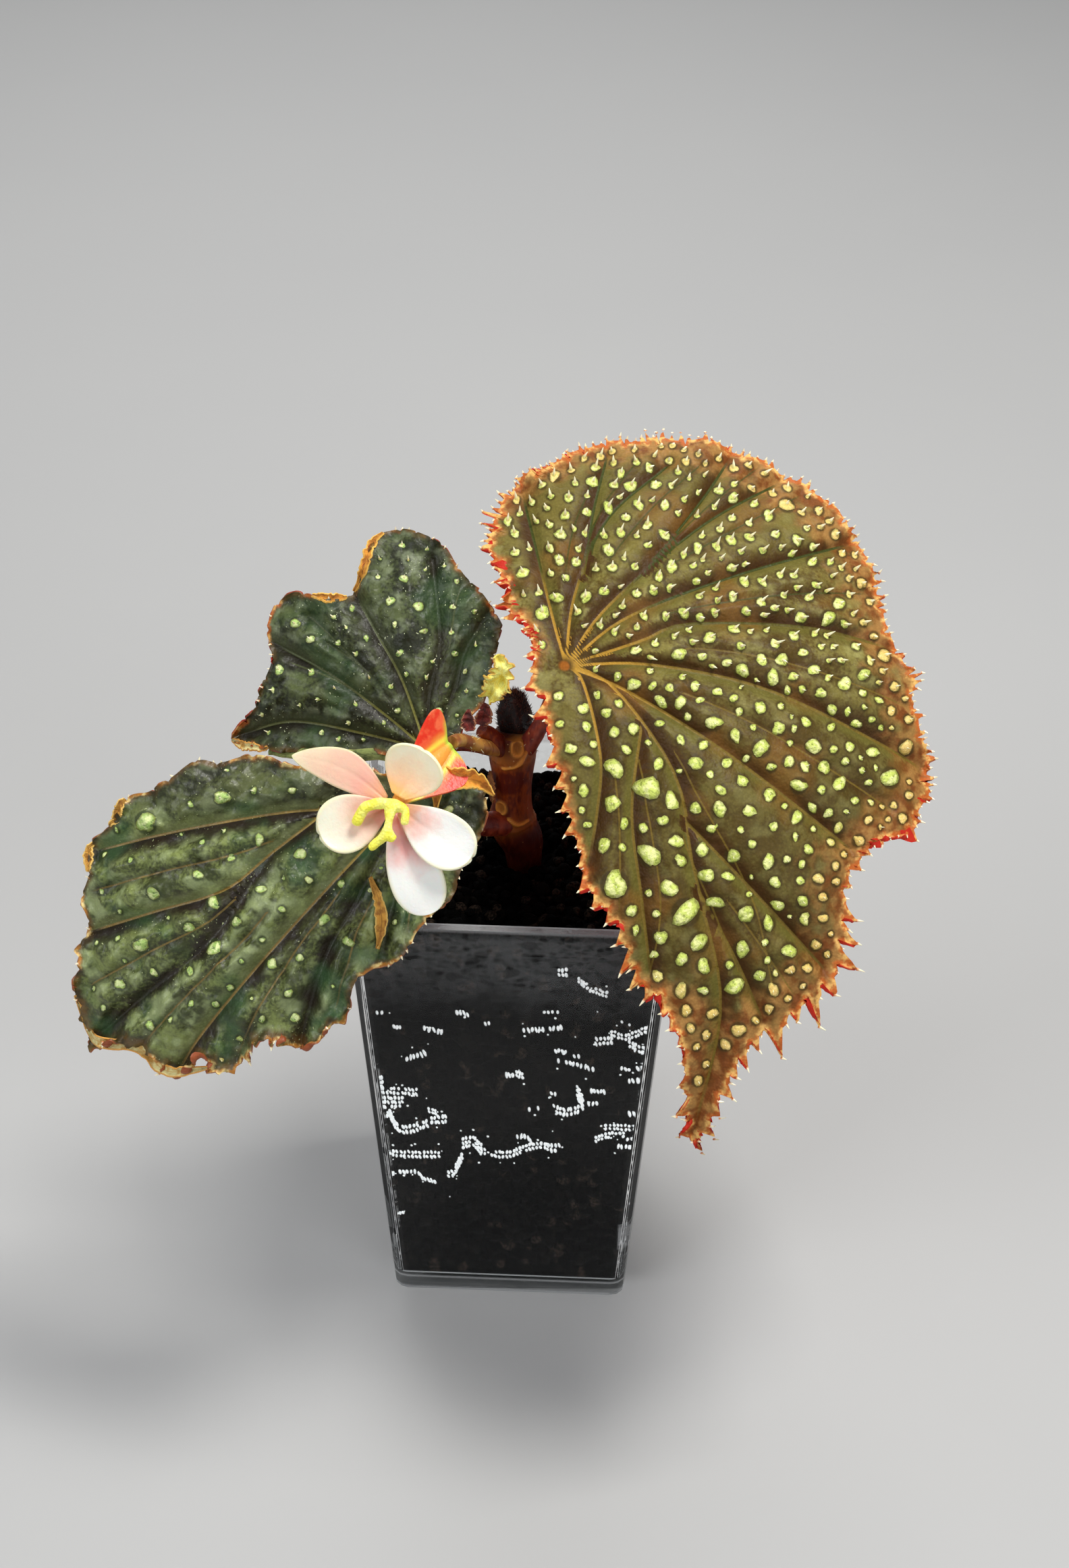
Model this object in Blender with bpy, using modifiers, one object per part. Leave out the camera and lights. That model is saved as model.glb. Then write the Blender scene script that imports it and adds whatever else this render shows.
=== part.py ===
"""A begonia in a clear square pot: soil, a jointed stem, three spiny leaves, one flower and its dried bracts.

Metres, +Z up. The origin is the centre of the pot's foot, and the plant faces -Y.
Lengths in this file are millimetres, and MM turns them into metres where a mesh is made.
"""

import math
import random

import bmesh
import bpy
import numpy as np
from mathutils import Matrix, Vector, noise

MM = 0.001
GAP = 0.3

# Pot
POT_TOP = 60.0
POT_FOOT = 48.0
POT_HEIGHT = 105.0
POT_WALL = 1.7
POT_FLOOR = 4.0
POT_CORNER = 3.0
SLOT_WIDTH = 3.0
SLOT_HEIGHT = 4.0
SLOT_SILL = 10.0
SLOT_OFFSET = 19.0

# Soil
SOIL_TOP = 97.5
SOIL_CLEARANCE = 0.5
SOIL_CELLS = 26
GRAIN_SIZE = 3.2
GRAIN_HEIGHT = 2.0
GRAIN_MEAN = 0.7
STEM_HOLE_RADIUS = 4.1
STEM_HOLE_DEPTH = 7.0

# Stem: its middle line, and its radius at each point of it, swollen at the two nodes
TRUNK = [(1.5, 0.8, 91.0), (1.4, 0.6, 97.0), (0.9, 0.3, 102.0), (-0.4, 0, 105.5), (-0.9, 0, 108.0),
         (-0.9, 0, 111.5), (-0.8, 0, 117.5), (-0.8, 0, 122.5), (-0.9, 0, 125.4), (-0.8, 0.3, 127.4)]
TRUNK_RADIUS = [3.1, 3.4, 3.6, 4.3, 4.4, 3.7, 3.6, 4.0, 4.4, 3.5]
ARM = [(-1.8, -1.2, 123.6), (-3.8, -2.4, 127.0), (-6.4, -3.0, 130.4)]
ARM_RADIUS = [2.2, 1.9, 1.4]
BUD_SIZE = (3.2, 2.9, 7.6)
BUD_PLACE = (-0.7, 2.2)

# Leaf blades: pillows rise between the sunken veins, all of it calm round the petiole, and the margin waves
BLADE_THICKNESS = 0.7
PILLOW_RISE = 0.9
PILLOW_REACH = 3.0
VEIN_DEPTH = 0.5
VEIN_REACH = 1.2
CALM_REACH = 4.0
MARGIN_WAVE = 0.8
MARGIN_WAVES = 11
MARGIN_CALM = 8.0
LARGE_TOOTH = 0.6
TOOTH_NOTCH = 0.3
TOOTH_LEAN = 0.45
NARROW_ROOM = 12.0
TEPAL_THICKNESS = 0.6


def unit(vector):
    return np.asarray(vector, float) / np.linalg.norm(vector)


def facing(foot, azimuth, tilt):
    """Matrix of a frame at foot, in mm: z faces the azimuth (0 is -Y) at the tilt above level, y goes up the slope."""
    turn = math.radians(azimuth)
    rise = math.radians(tilt)
    out = Vector((math.sin(turn) * math.cos(rise), -math.cos(turn) * math.cos(rise), math.sin(rise)))
    across = Vector((math.cos(turn), math.sin(turn), 0))
    matrix = Matrix((across, out.cross(across), out)).transposed().to_4x4()
    matrix.translation = Vector(foot)
    return matrix


def spline(points, steps):
    """steps + 1 points at even lengths along a smooth curve through the given ones."""
    fixed = np.asarray(points, float)
    ends = np.vstack([2 * fixed[0] - fixed[1], fixed, 2 * fixed[-1] - fixed[-2]])
    t = np.linspace(0, 1, 16, endpoint=False)[:, None]
    runs = []
    for a, b, c, d in zip(ends, ends[1:], ends[2:], ends[3:]):
        runs.append(b + t * (c - a) / 2 + t**2 * (2 * a - 5 * b + 4 * c - d) / 2 + t**3 * (3 * b - a - 3 * c + d) / 2)
    fine = np.vstack(runs + [fixed[-1:]])
    length = np.concatenate([[0], np.cumsum(np.linalg.norm(np.diff(fine, axis=0), axis=1))])
    even = np.linspace(0, length[-1], steps + 1)
    return np.stack([np.interp(even, length, fine[:, i]) for i in range(fixed.shape[1])], axis=1)


def distance_to_lines(points, lines):
    """Distance from each 2D point to the nearest of the polylines."""
    nearest = np.full(len(points), np.inf)
    for line in lines:
        for a, b in zip(line, line[1:]):
            along = np.clip((points - a) @ (b - a) / ((b - a) @ (b - a)), 0, 1)
            nearest = np.minimum(nearest, np.linalg.norm(points - a - along[:, None] * (b - a), axis=1))
    return nearest


class Leaf:
    """A leaf blade on a shallow dome. x and y lie in its own plane and z stands out of it, in mm from its petiole.

    first and second are the two sides of its outline, both from one end of the blade to the other,
    clockwise as seen from its upper face for the first one. spine runs inside it between the same ends.
    """

    def __init__(self, foot, azimuth, tilt, apex, radius, first, second, spine, veins, teeth, tooth, rings, lifts=()):
        self.matrix = facing(foot, azimuth, tilt)
        self.apex = apex
        self.radius = radius
        self.first = first
        self.second = second
        self.spine = spine
        self.veins = [spline(vein, 10) for vein in veins]
        self.teeth = teeth
        self.tooth = tooth
        self.rings = rings
        self.lifts = lifts

    def height(self, xy):
        """Height of the upper face: the dome, sunken veins with pillows between them, and local curls."""
        x, y = xy[:, 0], xy[:, 1]
        dome = (self.apex[0] ** 2 - (x - self.apex[0]) ** 2) / (2 * self.radius[0])
        dome += (self.apex[1] ** 2 - (y - self.apex[1]) ** 2) / (2 * self.radius[1])
        from_vein = distance_to_lines(xy, self.veins)
        pillow = PILLOW_RISE * (1 - np.exp(-((from_vein / PILLOW_REACH) ** 2)))
        pillow -= VEIN_DEPTH * np.exp(-((from_vein / VEIN_REACH) ** 2))
        pillow *= 1 - np.exp(-(x**2 + y**2) / CALM_REACH**2)
        for (cx, cy), lift, width in self.lifts:
            dome = dome + lift * np.exp(-((x - cx) ** 2 + (y - cy) ** 2) / width**2)
        return dome + pillow

    def place(self, x, y, lift=0.0):
        """World point over (x, y), in mm."""
        z = float(self.height(np.array([[x, y]], float))[0]) + lift
        return tuple(self.matrix @ Vector((x, y, z)))

    def grid(self):
        """Local points of the upper face, as rings from the spine out to the toothed edge."""
        side = self.teeth
        edge = np.vstack([spline(self.first, side), spline(self.second, side)[-2::-1]])
        share = np.arange(2 * side + 1) / (2 * side)
        middle = spline(self.spine, 200)
        start = middle[np.rint(200 * np.clip(1.3 * (1 - np.abs(2 * share - 1)) - 0.15, 0, 1)).astype(int)]
        rise = np.gradient(edge, axis=0)
        rise[0] = rise[-1] = edge[1] - edge[-2]
        rise /= np.linalg.norm(rise, axis=1)[:, None]
        outward = np.stack([-rise[:, 1], rise[:, 0]], axis=1)
        room = np.clip(np.linalg.norm(edge - start, axis=1) / NARROW_ROOM, 0.45, 1)
        is_tooth = np.arange(2 * side + 1) % 2 == 1
        is_large = np.arange(2 * side + 1) % 10 == 5
        push = np.where(is_tooth, 1 + LARGE_TOOTH * is_large, -TOOTH_NOTCH) * self.tooth * room
        lean = TOOTH_LEAN * is_tooth * self.tooth * room * np.where(share < 0.5, 1, -1)
        rings = []
        for ring in range(self.rings + 1):
            out = (ring / self.rings) ** 0.85
            xy = start + out * (edge - start)
            if ring == self.rings:
                xy = xy + push[:, None] * outward + lean[:, None] * rise
            calm = np.exp(-np.linalg.norm(xy, axis=1) / MARGIN_CALM)
            wave = MARGIN_WAVE * out**4 * np.sin(2 * math.pi * MARGIN_WAVES * share) * (1 - calm)
            rings.append(np.column_stack([xy, self.height(xy) + wave]))
        return np.array(rings)


LEAF_RIGHT = Leaf(
    foot=(8.8, -6.0, 147.3), azimuth=4, tilt=38, apex=(19, -36), radius=(70, 90), teeth=70, tooth=1.5, rings=8,
    first=[(19, 45), (34, 42.5), (48, 33.5), (57, 22), (60, 8), (64, -5), (66, -18), (63, -29), (54, -32.5),
           (49, -42), (46.5, -55), (36, -64), (28.5, -72), (25, -80), (22, -86)],
    second=[(19, 45), (4, 42), (-8, 36), (-13, 25), (-10, 15), (-7, 5), (-5, -2), (-4, -12), (-1.5, -23),
            (1.5, -35), (8, -48), (13, -57), (18.5, -64), (20.5, -75), (22, -86)],
    spine=[(21, 24), (23, -10), (25, -45), (23.5, -72)],
    veins=[[(0, 0), (-2.5, 11), (-5, 24), (-7, 34)],
           [(0, 0), (2, 13), (8.5, 27.5), (20, 38)],
           [(3.8, 17), (6, 29), (9, 40)],
           [(0, 0), (7.7, 10.6), (25.7, 26), (43, 36)],
           [(15, 17.5), (26, 31), (33, 41)],
           [(0, 0), (11.3, 8.7), (32.5, 16.8), (57, 24)],
           [(0, 0), (13.5, 4.3), (22, 7.3), (44, 6.8), (61, 3)],
           [(0, 0), (14.5, 0), (35, -4.4), (56, -14), (65, -19)],
           [(0, 0), (10.8, -4.8), (28, -16), (50, -33)],
           [(0, 0), (7.3, -3), (16.3, -15), (20, -24), (21, -33), (23, -42), (26.5, -61), (22, -85)],
           [(0, 0), (3, -3), (5.7, -16), (5, -26), (3, -37)],
           [(13, -11), (11, -26), (12.5, -41), (14, -54)],
           [(20.5, -28), (32, -40), (45, -54)],
           [(22.5, -40), (29, -52), (34, -63)]])

LEAF_UPPER_LEFT = Leaf(
    foot=(-16.3, -6.0, 127.5), azimuth=-6, tilt=42, apex=(-8, 18), radius=(60, 60), teeth=38, tooth=0.9, rings=5,
    first=[(-38, -1), (-33.5, 5), (-31.5, 13), (-32, 21), (-28, 26.5), (-22, 25), (-17.5, 26.5), (-14.5, 33),
           (-12.5, 39), (-7, 40), (-0.5, 37), (6, 31), (11, 24)],
    second=[(-38, -1), (-33, -1.7), (-20, -2), (-11, -2), (-3, -2), (3, 0), (7, 6), (10.5, 14), (11, 24)],
    spine=[(-23, 10), (-10, 18), (-2, 23)],
    veins=[[(0, 0), (-8, 5.5), (-19, 12), (-32, 17.6)],
           [(0, 0), (-5.5, 12), (-11, 20), (-16, 27)],
           [(0, 0), (-13, 2), (-26, 3), (-37, 0)],
           [(0, 0), (-0.4, 10), (0.5, 20), (-2.7, 35)],
           [(0, 0), (3.4, 9), (5.4, 19), (9, 27)]])

LEAF_LOWER_LEFT = Leaf(
    foot=(-19.1, -24.0, 128.2), azimuth=-6, tilt=40, apex=(-20, -12), radius=(75, 70), teeth=52, tooth=1.1, rings=6,
    lifts=[((12, 5), 3.0, 4.5)],
    first=[(15, 1), (13, -7), (9, -15), (4.5, -22), (2.5, -27), (-2.5, -29.5), (-6.5, -36), (-10, -42), (-14, -45),
           (-18, -42), (-22, -43.5), (-26, -48), (-29, -50.5), (-33, -49), (-38, -53.5), (-43, -49), (-48, -47.5),
           (-55.5, -49)],
    second=[(15, 1), (11, 5.5), (5, 6), (-8, 6), (-21, 5.7), (-33, 5.4), (-38, 4), (-44, -1), (-50, -4.5),
            (-54, -9.5), (-57, -16), (-57, -28), (-57.5, -40), (-55.5, -49)],
    spine=[(4, -8), (-20, -18), (-44, -30)],
    veins=[[(0, 0), (-13.6, -1.8), (-23, -3.6), (-41.6, -8.7), (-55, -13)],
           [(-13.5, -2.4), (-22, -10.4), (-30, -17.8), (-43, -23), (-56, -28)],
           [(-22, -10.4), (-32, -27), (-44, -38), (-54, -47)],
           [(0, 0), (-8.8, -12), (-20.7, -27.7), (-32.8, -43.7), (-38, -52)],
           [(0, 0), (-6, -16.6), (-11, -28), (-15, -44)],
           [(0, 0), (0.6, -12.3), (-1.6, -28)],
           [(0, 0), (5.8, -7), (8, -15)]])

# Flower: its own frame has z towards the viewer and y up. A tepal is angle, length, half-width, the share of its
# length where it is widest, how blunt its tip is, its layer, how far its tip leans out, and its sideways bow.
FLOWER_FOOT = (-19.5, -34.0, 136.8)
FLOWER_AZIMUTH = -2
FLOWER_TILT = 38
LOW_LAYER = 0.0
HIGH_LAYER = 0.95
TEPALS = {
    "tepal_1": (158, 19.7, 3.5, 0.52, 1.5, LOW_LAYER, -1.0, 1.7),
    "tepal_2": (62, 10.4, 5.4, 0.62, 2.2, HIGH_LAYER, 2.6, 0.0),
    "tepal_3": (-31, 16.2, 4.8, 0.62, 2.2, HIGH_LAYER, 1.2, 0.3),
    "tepal_4": (-69.5, 19.9, 4.8, 0.66, 2.3, LOW_LAYER, -1.0, 0.3),
    "tepal_5": (206, 13.4, 5.0, 0.60, 2.2, HIGH_LAYER, 1.5, 0.0),
}
TEPAL_ROOT = 1.5
TEPAL_CUP = {LOW_LAYER: -0.10, HIGH_LAYER: 0.22}

# Styles: points of a branching skeleton, each with its parent and its radius
STYLES = {
    "foot": ((0, 0, 0.2), None, 0.75),
    "neck": ((0, 0.1, 1.7), "foot", 0.9),
    "crown": ((-0.2, 0.2, 2.9), "neck", 1.3),
    "left_bend": ((-2.8, -0.1, 3.3), "crown", 0.8),
    "left_knob": ((-4.8, -0.9, 3.6), "left_bend", 1.0),
    "left_tip": ((-6.3, -4.2, 3.2), "left_knob", 0.85),
    "middle_bend": ((-0.3, -2.6, 3.8), "crown", 0.75),
    "middle_fork": ((-0.5, -5.0, 4.0), "middle_bend", 0.8),
    "middle_right": ((0.9, -6.2, 3.8), "middle_fork", 0.9),
    "middle_left": ((-3.6, -8.0, 3.3), "middle_fork", 0.8),
    "right_bend": ((2.5, -0.9, 3.3), "crown", 0.8),
    "right_tip": ((2.2, -3.6, 3.5), "right_bend", 0.75),
}

# Ovary: a three-winged capsule from the flower back to the stalk's joint. A wing is angle, reach, and how far
# its edge is drawn towards the joint for each mm of reach.
STALK_JOINT = (-11.1, -20.0, 139.2)
OVARY_RADIUS = 2.0
OVARY_NECK = 0.9
WINGS = ((112, 7.4, 0.75), (-25, 6.0, 0.0), (235, 4.0, 0.0))
WING_THICKNESS = 0.9
WING_SHIFT = 2.6
PEDUNCLE_RADIUS = 1.2
JOINT_GAP = 0.8


def clear_scene():
    for obj in list(bpy.data.objects):
        bpy.data.objects.remove(obj)


def collection(name, is_helper=False):
    found = bpy.data.collections.new(name)
    found.hide_render = is_helper
    bpy.context.scene.collection.children.link(found)
    return found


def material(name, colour, roughness, alpha=1.0, transmission=0.0):
    made = bpy.data.materials.new(name)
    made.use_nodes = True
    shader = made.node_tree.nodes["Principled BSDF"]
    shader.inputs["Base Color"].default_value = (*colour, 1)
    shader.inputs["Roughness"].default_value = roughness
    shader.inputs["Metallic"].default_value = 0.0
    shader.inputs["Alpha"].default_value = alpha
    shader.inputs["Transmission Weight"].default_value = transmission
    made.diffuse_color = (*colour, alpha)
    return made


def add(name, mesh, where, finish=None):
    obj = bpy.data.objects.new(name, mesh)
    where.objects.link(obj)
    if finish:
        obj.data.materials.append(finish)
    return obj


def add_bmesh(name, bm, where, finish=None):
    """The bmesh, whose points are in mm, as an object in metres."""
    bmesh.ops.scale(bm, vec=(MM, MM, MM), verts=bm.verts)
    mesh = bpy.data.meshes.new(name)
    bm.to_mesh(mesh)
    bm.free()
    return add(name, mesh, where, finish)


def shade(obj, angle=35):
    obj.data.shade_smooth()
    obj.data.set_sharp_from_angle(angle=math.radians(angle))


def tube(name, points, radii, where, finish=None, grow=0.0):
    """A round stalk through the points, as a welded mesh; grow thickens it all over."""
    curve = bpy.data.curves.new(name, "CURVE")
    curve.dimensions = "3D"
    curve.bevel_depth = MM
    curve.bevel_resolution = 4
    curve.resolution_u = 3
    curve.use_fill_caps = True
    bend = curve.splines.new("BEZIER")
    bend.bezier_points.add(len(points) - 1)
    for knot, point, radius in zip(bend.bezier_points, points, radii):
        knot.co = Vector(point) * MM
        knot.radius = radius + grow
        knot.handle_left_type = knot.handle_right_type = "AUTO"
    guide = add(name + "_curve", curve, where)
    bpy.context.view_layer.update()
    mesh = bpy.data.meshes.new_from_object(guide.evaluated_get(bpy.context.evaluated_depsgraph_get()))
    bpy.data.objects.remove(guide)
    bm = bmesh.new()
    bm.from_mesh(mesh)
    bmesh.ops.remove_doubles(bm, verts=bm.verts, dist=0.001 * MM)
    bmesh.ops.recalc_face_normals(bm, faces=bm.faces)
    bm.to_mesh(mesh)
    bm.free()
    mesh.name = name
    mesh.materials.clear()
    made = add(name, mesh, where, finish)
    shade(made, 60)
    return made


def boolean(obj, operation, other):
    step = obj.modifiers.new(operation.title(), "BOOLEAN")
    step.operation = operation
    step.object = other


def apply_modifiers(obj):
    bpy.context.view_layer.update()
    graph = bpy.context.evaluated_depsgraph_get()
    mesh = bpy.data.meshes.new_from_object(obj.evaluated_get(graph))
    obj.modifiers.clear()
    obj.data = mesh


def cutter(obj):
    obj.hide_render = True
    obj.display_type = "WIRE"
    return obj


def box_cutter(name, low, high, where):
    bm = bmesh.new()
    bmesh.ops.create_cube(bm, size=1)
    bmesh.ops.scale(bm, vec=Vector(high) - Vector(low), verts=bm.verts)
    bmesh.ops.translate(bm, vec=(Vector(high) + Vector(low)) / 2, verts=bm.verts)
    return cutter(add_bmesh(name, bm, where))


def tapered_block(half_at, bottom, top, corner):
    """A square block whose half-width at a height is half_at(height), with rounded upright corners."""
    bm = bmesh.new()
    bmesh.ops.create_cube(bm, size=2)
    upright = [e for e in bm.edges if abs(e.verts[0].co.z - e.verts[1].co.z) > 1]
    for vert in bm.verts:
        height = top if vert.co.z > 0 else bottom
        half = half_at(height)
        vert.co = (half * vert.co.x, half * vert.co.y, height)
    if corner:
        bmesh.ops.bevel(bm, geom=upright, offset=corner, segments=3, profile=0.5, affect="EDGES")
    return bm


def pot_half(height):
    """Half of the pot's outer width at a height."""
    return (POT_FOOT + (POT_TOP - POT_FOOT) * height / POT_HEIGHT) / 2


def make_pot(parts, cutters):
    clear = material("clear_plastic", (0.80, 0.84, 0.86), 0.08, alpha=0.35)
    pot = add_bmesh("pot", tapered_block(pot_half, 0, POT_HEIGHT, POT_CORNER), parts, clear)
    hollow = tapered_block(lambda z: pot_half(z) - POT_WALL, POT_FLOOR, POT_HEIGHT + 5, POT_CORNER - POT_WALL)
    boolean(pot, "DIFFERENCE", cutter(add_bmesh("pot_hollow", hollow, cutters)))
    for side in (-1, 1):
        for end in (-1, 1):
            middle = end * SLOT_OFFSET
            across = sorted((side * (pot_half(0) - 4), side * (pot_half(0) + 4)))
            low = (across[0], middle - SLOT_WIDTH / 2, SLOT_SILL)
            high = (across[1], middle + SLOT_WIDTH / 2, SLOT_SILL + SLOT_HEIGHT)
            boolean(pot, "DIFFERENCE", box_cutter(f"slot_{side}_{end}", low, high, cutters))
    shade(pot)


def make_soil(parts, cutters):
    """A block of soil that fills the pot, with rounded granules over its top and a hole for the stem."""
    earth = material("soil", (0.030, 0.024, 0.020), 0.95)
    bottom = POT_FLOOR + GAP
    low_half = pot_half(bottom) - POT_WALL - SOIL_CLEARANCE
    high_half = pot_half(SOIL_TOP) - POT_WALL - SOIL_CLEARANCE
    bm = bmesh.new()
    bmesh.ops.create_grid(bm, x_segments=SOIL_CELLS, y_segments=SOIL_CELLS, size=high_half)
    top = list(bm.verts)
    for vert in top:
        edge = max(abs(vert.co.x), abs(vert.co.y)) / high_half
        grain = noise.voronoi(Vector((vert.co.x, vert.co.y, 0)) / GRAIN_SIZE)[0][0]
        vert.co.z = SOIL_TOP + GRAIN_HEIGHT * (GRAIN_MEAN - grain) * (edge < 0.99)
    skirt = bmesh.ops.extrude_face_region(bm, geom=bm.faces[:])
    base = [item for item in skirt["geom"] if isinstance(item, bmesh.types.BMVert)]
    for vert in base:
        vert.co.x *= low_half / high_half
        vert.co.y *= low_half / high_half
        vert.co.z = bottom
    floor = [face for face in bm.faces if all(abs(v.co.z - bottom) < 0.01 for v in face.verts)]
    bmesh.ops.dissolve_faces(bm, faces=floor)
    bmesh.ops.recalc_face_normals(bm, faces=bm.faces)
    soil = add_bmesh("soil", bm, parts, earth)
    foot = TRUNK[0]
    hole = bmesh.new()
    bmesh.ops.create_cone(hole, cap_ends=True, segments=16, radius1=STEM_HOLE_RADIUS, radius2=STEM_HOLE_RADIUS,
                          depth=2 * STEM_HOLE_DEPTH)
    bmesh.ops.translate(hole, vec=(foot[0], foot[1], foot[2] - GAP + STEM_HOLE_DEPTH), verts=hole.verts)
    boolean(soil, "DIFFERENCE", cutter(add_bmesh("stem_hole", hole, cutters)))
    shade(soil)


def make_stem(parts, cutters):
    """The rhizome with its short arm, the bud on top, and fatter copies that stalks are trimmed by."""
    skin = material("rhizome", (0.42, 0.13, 0.04), 0.45)
    rhizome = tube("rhizome", TRUNK, TRUNK_RADIUS, parts, skin)
    arm = tube("arm", ARM, ARM_RADIUS, cutters)
    boolean(rhizome, "UNION", arm)
    apply_modifiers(rhizome)
    bpy.data.objects.remove(arm)
    shade(rhizome, 60)
    hairy = material("growing_tip", (0.03, 0.012, 0.010), 0.8)
    bm = bmesh.new()
    bmesh.ops.create_uvsphere(bm, u_segments=14, v_segments=10, radius=1)
    floor = TRUNK[-1][2] + GAP
    for vert in bm.verts:
        flat = max(vert.co.z, -0.35)
        ridge = 1 + 0.10 * math.cos(5 * math.atan2(vert.co.y, vert.co.x)) * (1 - abs(vert.co.z))
        vert.co.x = BUD_PLACE[0] + BUD_SIZE[0] * ridge * vert.co.x
        vert.co.y = BUD_PLACE[1] + BUD_SIZE[1] * ridge * vert.co.y
        vert.co.z = floor + BUD_SIZE[2] * (flat + 0.35) / 1.35
    shade(add_bmesh("growing_tip", bm, parts, hairy))
    return (cutter(tube("trunk_clearance", TRUNK, TRUNK_RADIUS, cutters, grow=GAP)),
            cutter(tube("arm_clearance", ARM, ARM_RADIUS, cutters, grow=GAP)))


def leaf_top(leaf, name, parts, finish):
    """The upper face of the leaf's blade as one sheet, thickened downwards."""
    rings = leaf.grid()
    columns = rings.shape[1] - 1
    bm = bmesh.new()
    bmesh.ops.create_grid(bm, x_segments=columns, y_segments=leaf.rings, size=0.5)
    for vert in bm.verts:
        column = round((vert.co.x + 0.5) * columns)
        ring = round((vert.co.y + 0.5) * leaf.rings)
        vert.co = rings[ring, column]
    bmesh.ops.remove_doubles(bm, verts=bm.verts, dist=0.002)
    made = add_bmesh(name, bm, parts, finish)
    made.matrix_world = Matrix.LocRotScale(leaf.matrix.translation * MM, leaf.matrix.to_quaternion(), None)
    made.modifiers.new("Split", "TRIANGULATE").quad_method = "FIXED"
    thick = made.modifiers.new("Blade", "SOLIDIFY")
    thick.thickness = BLADE_THICKNESS * MM
    thick.offset = -1
    made.data.shade_smooth()
    return made


def make_leaves(parts, clearances):
    bronze = material("leaf_bronze", (0.13, 0.11, 0.035), 0.5)
    green = material("leaf_dark_green", (0.020, 0.045, 0.018), 0.45)
    stalk = material("petiole", (0.33, 0.08, 0.03), 0.5)
    leaf_top(LEAF_RIGHT, "leaf_right", parts, bronze)
    leaf_top(LEAF_UPPER_LEFT, "leaf_upper_left", parts, green)
    leaf_top(LEAF_LOWER_LEFT, "leaf_lower_left", parts, green)
    under = -(BLADE_THICKNESS + 3 * GAP)
    routes = {
        "petiole_right": ([(0.6, -0.8, 123.0), (4.2, -1.8, 130.5), (7.2, -0.6, 139.0)], LEAF_RIGHT, 1.7),
        "petiole_upper_left": ([(-1.0, 0.6, 122.0), (-7.5, 1.4, 123.2), (-13.5, 0.2, 124.2)], LEAF_UPPER_LEFT, 1.4),
        "petiole_lower_left": ([(-0.5, -1.0, 107.2), (-7.5, -6.5, 111.0), (-15.5, -14.0, 118.4)], LEAF_LOWER_LEFT, 2.3),
    }
    for name, (route, leaf, radius) in routes.items():
        route = route + [leaf.place(0, 0, under - 2.5), leaf.place(0, 0, under)]
        radii = [radius * 1.15, radius, 0.85 * radius, 1.2, 1.2]
        made = tube(name, route, radii, parts, stalk)
        boolean(made, "DIFFERENCE", clearances[0])


def blade(name, line, widths, face, finish, parts, ragged=0.0, crumple=0.0, rows=8, columns=4):
    """A thin strip along a smooth line, in mm, of the half-widths given at even steps and with its upper side to face.

    ragged cuts its edges and crumple dents it.
    """
    path = spline(line, rows)
    half = np.interp(np.linspace(0, 1, rows + 1), np.linspace(0, 1, len(widths)), widths)
    ahead = np.gradient(path, axis=0)
    draw = random.Random(name)
    tears = [[1 - ragged * draw.random() for _ in range(2)] for _ in range(rows + 1)]
    bm = bmesh.new()
    bmesh.ops.create_grid(bm, x_segments=columns, y_segments=rows, size=0.5)
    for vert in bm.verts:
        row = round((vert.co.y + 0.5) * rows)
        share = 2 * vert.co.x
        side = unit(np.cross(ahead[row], face))
        up = unit(np.cross(side, ahead[row]))
        reach = half[row] * share * tears[row][int(share > 0)]
        dent = crumple * noise.noise(Vector((row * 0.8, share * 1.3, len(name))))
        vert.co = path[row] + side * reach + up * dent
    bmesh.ops.remove_doubles(bm, verts=bm.verts, dist=0.01)
    bmesh.ops.triangulate(bm, faces=bm.faces)
    extruded = bmesh.ops.extrude_face_region(bm, geom=bm.faces[:])
    lower = [item for item in extruded["geom"] if isinstance(item, bmesh.types.BMVert)]
    bmesh.ops.translate(bm, vec=Vector(-BLADE_THICKNESS * unit(face)), verts=lower)
    bmesh.ops.recalc_face_normals(bm, faces=bm.faces)
    shade(add_bmesh(name, bm, parts, finish), 60)


def tepal_half_width(along, widest, blunt):
    """Half-width of a tepal as a share of its widest, at a share of its length."""
    if along < widest:
        return 0.25 + 0.75 * math.sin(math.pi / 2 * along / widest)
    return max(0.0, 1 - ((along - widest) / (1 - widest)) ** blunt) ** (1 / blunt)


def make_tepals(parts, flower):
    rows, columns = 9, 6
    for name, (angle, length, width, widest, blunt, layer, lean, bow) in TEPALS.items():
        finish = material(name, (0.95, 0.72, 0.62), 0.5)
        turn = math.radians(angle)
        ahead = np.array([math.cos(turn), math.sin(turn), 0])
        side = np.array([ahead[1], -ahead[0], 0])
        bm = bmesh.new()
        bmesh.ops.create_grid(bm, x_segments=columns, y_segments=rows, size=0.5)
        for vert in bm.verts:
            row = round((vert.co.y + 0.5) * rows)
            along = math.sin(math.pi / 2 * row / rows)
            share = 2 * vert.co.x
            half = width * tepal_half_width(along, widest, blunt)
            out = TEPAL_ROOT + (length - TEPAL_ROOT) * along
            lift = layer + TEPAL_THICKNESS + lean * along**2 + TEPAL_CUP[layer] * half * share**2 * along
            aside = half * share + bow * math.sin(math.pi * along)
            vert.co = ahead * out + side * aside + np.array([0, 0, lift])
        bmesh.ops.remove_doubles(bm, verts=bm.verts, dist=0.01)
        made = add_bmesh(name, bm, parts, finish)
        made.parent = flower
        made.modifiers.new("Split", "TRIANGULATE").quad_method = "FIXED"
        thick = made.modifiers.new("Blade", "SOLIDIFY")
        thick.thickness = TEPAL_THICKNESS * MM
        thick.offset = -1
        made.data.shade_smooth()


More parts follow.
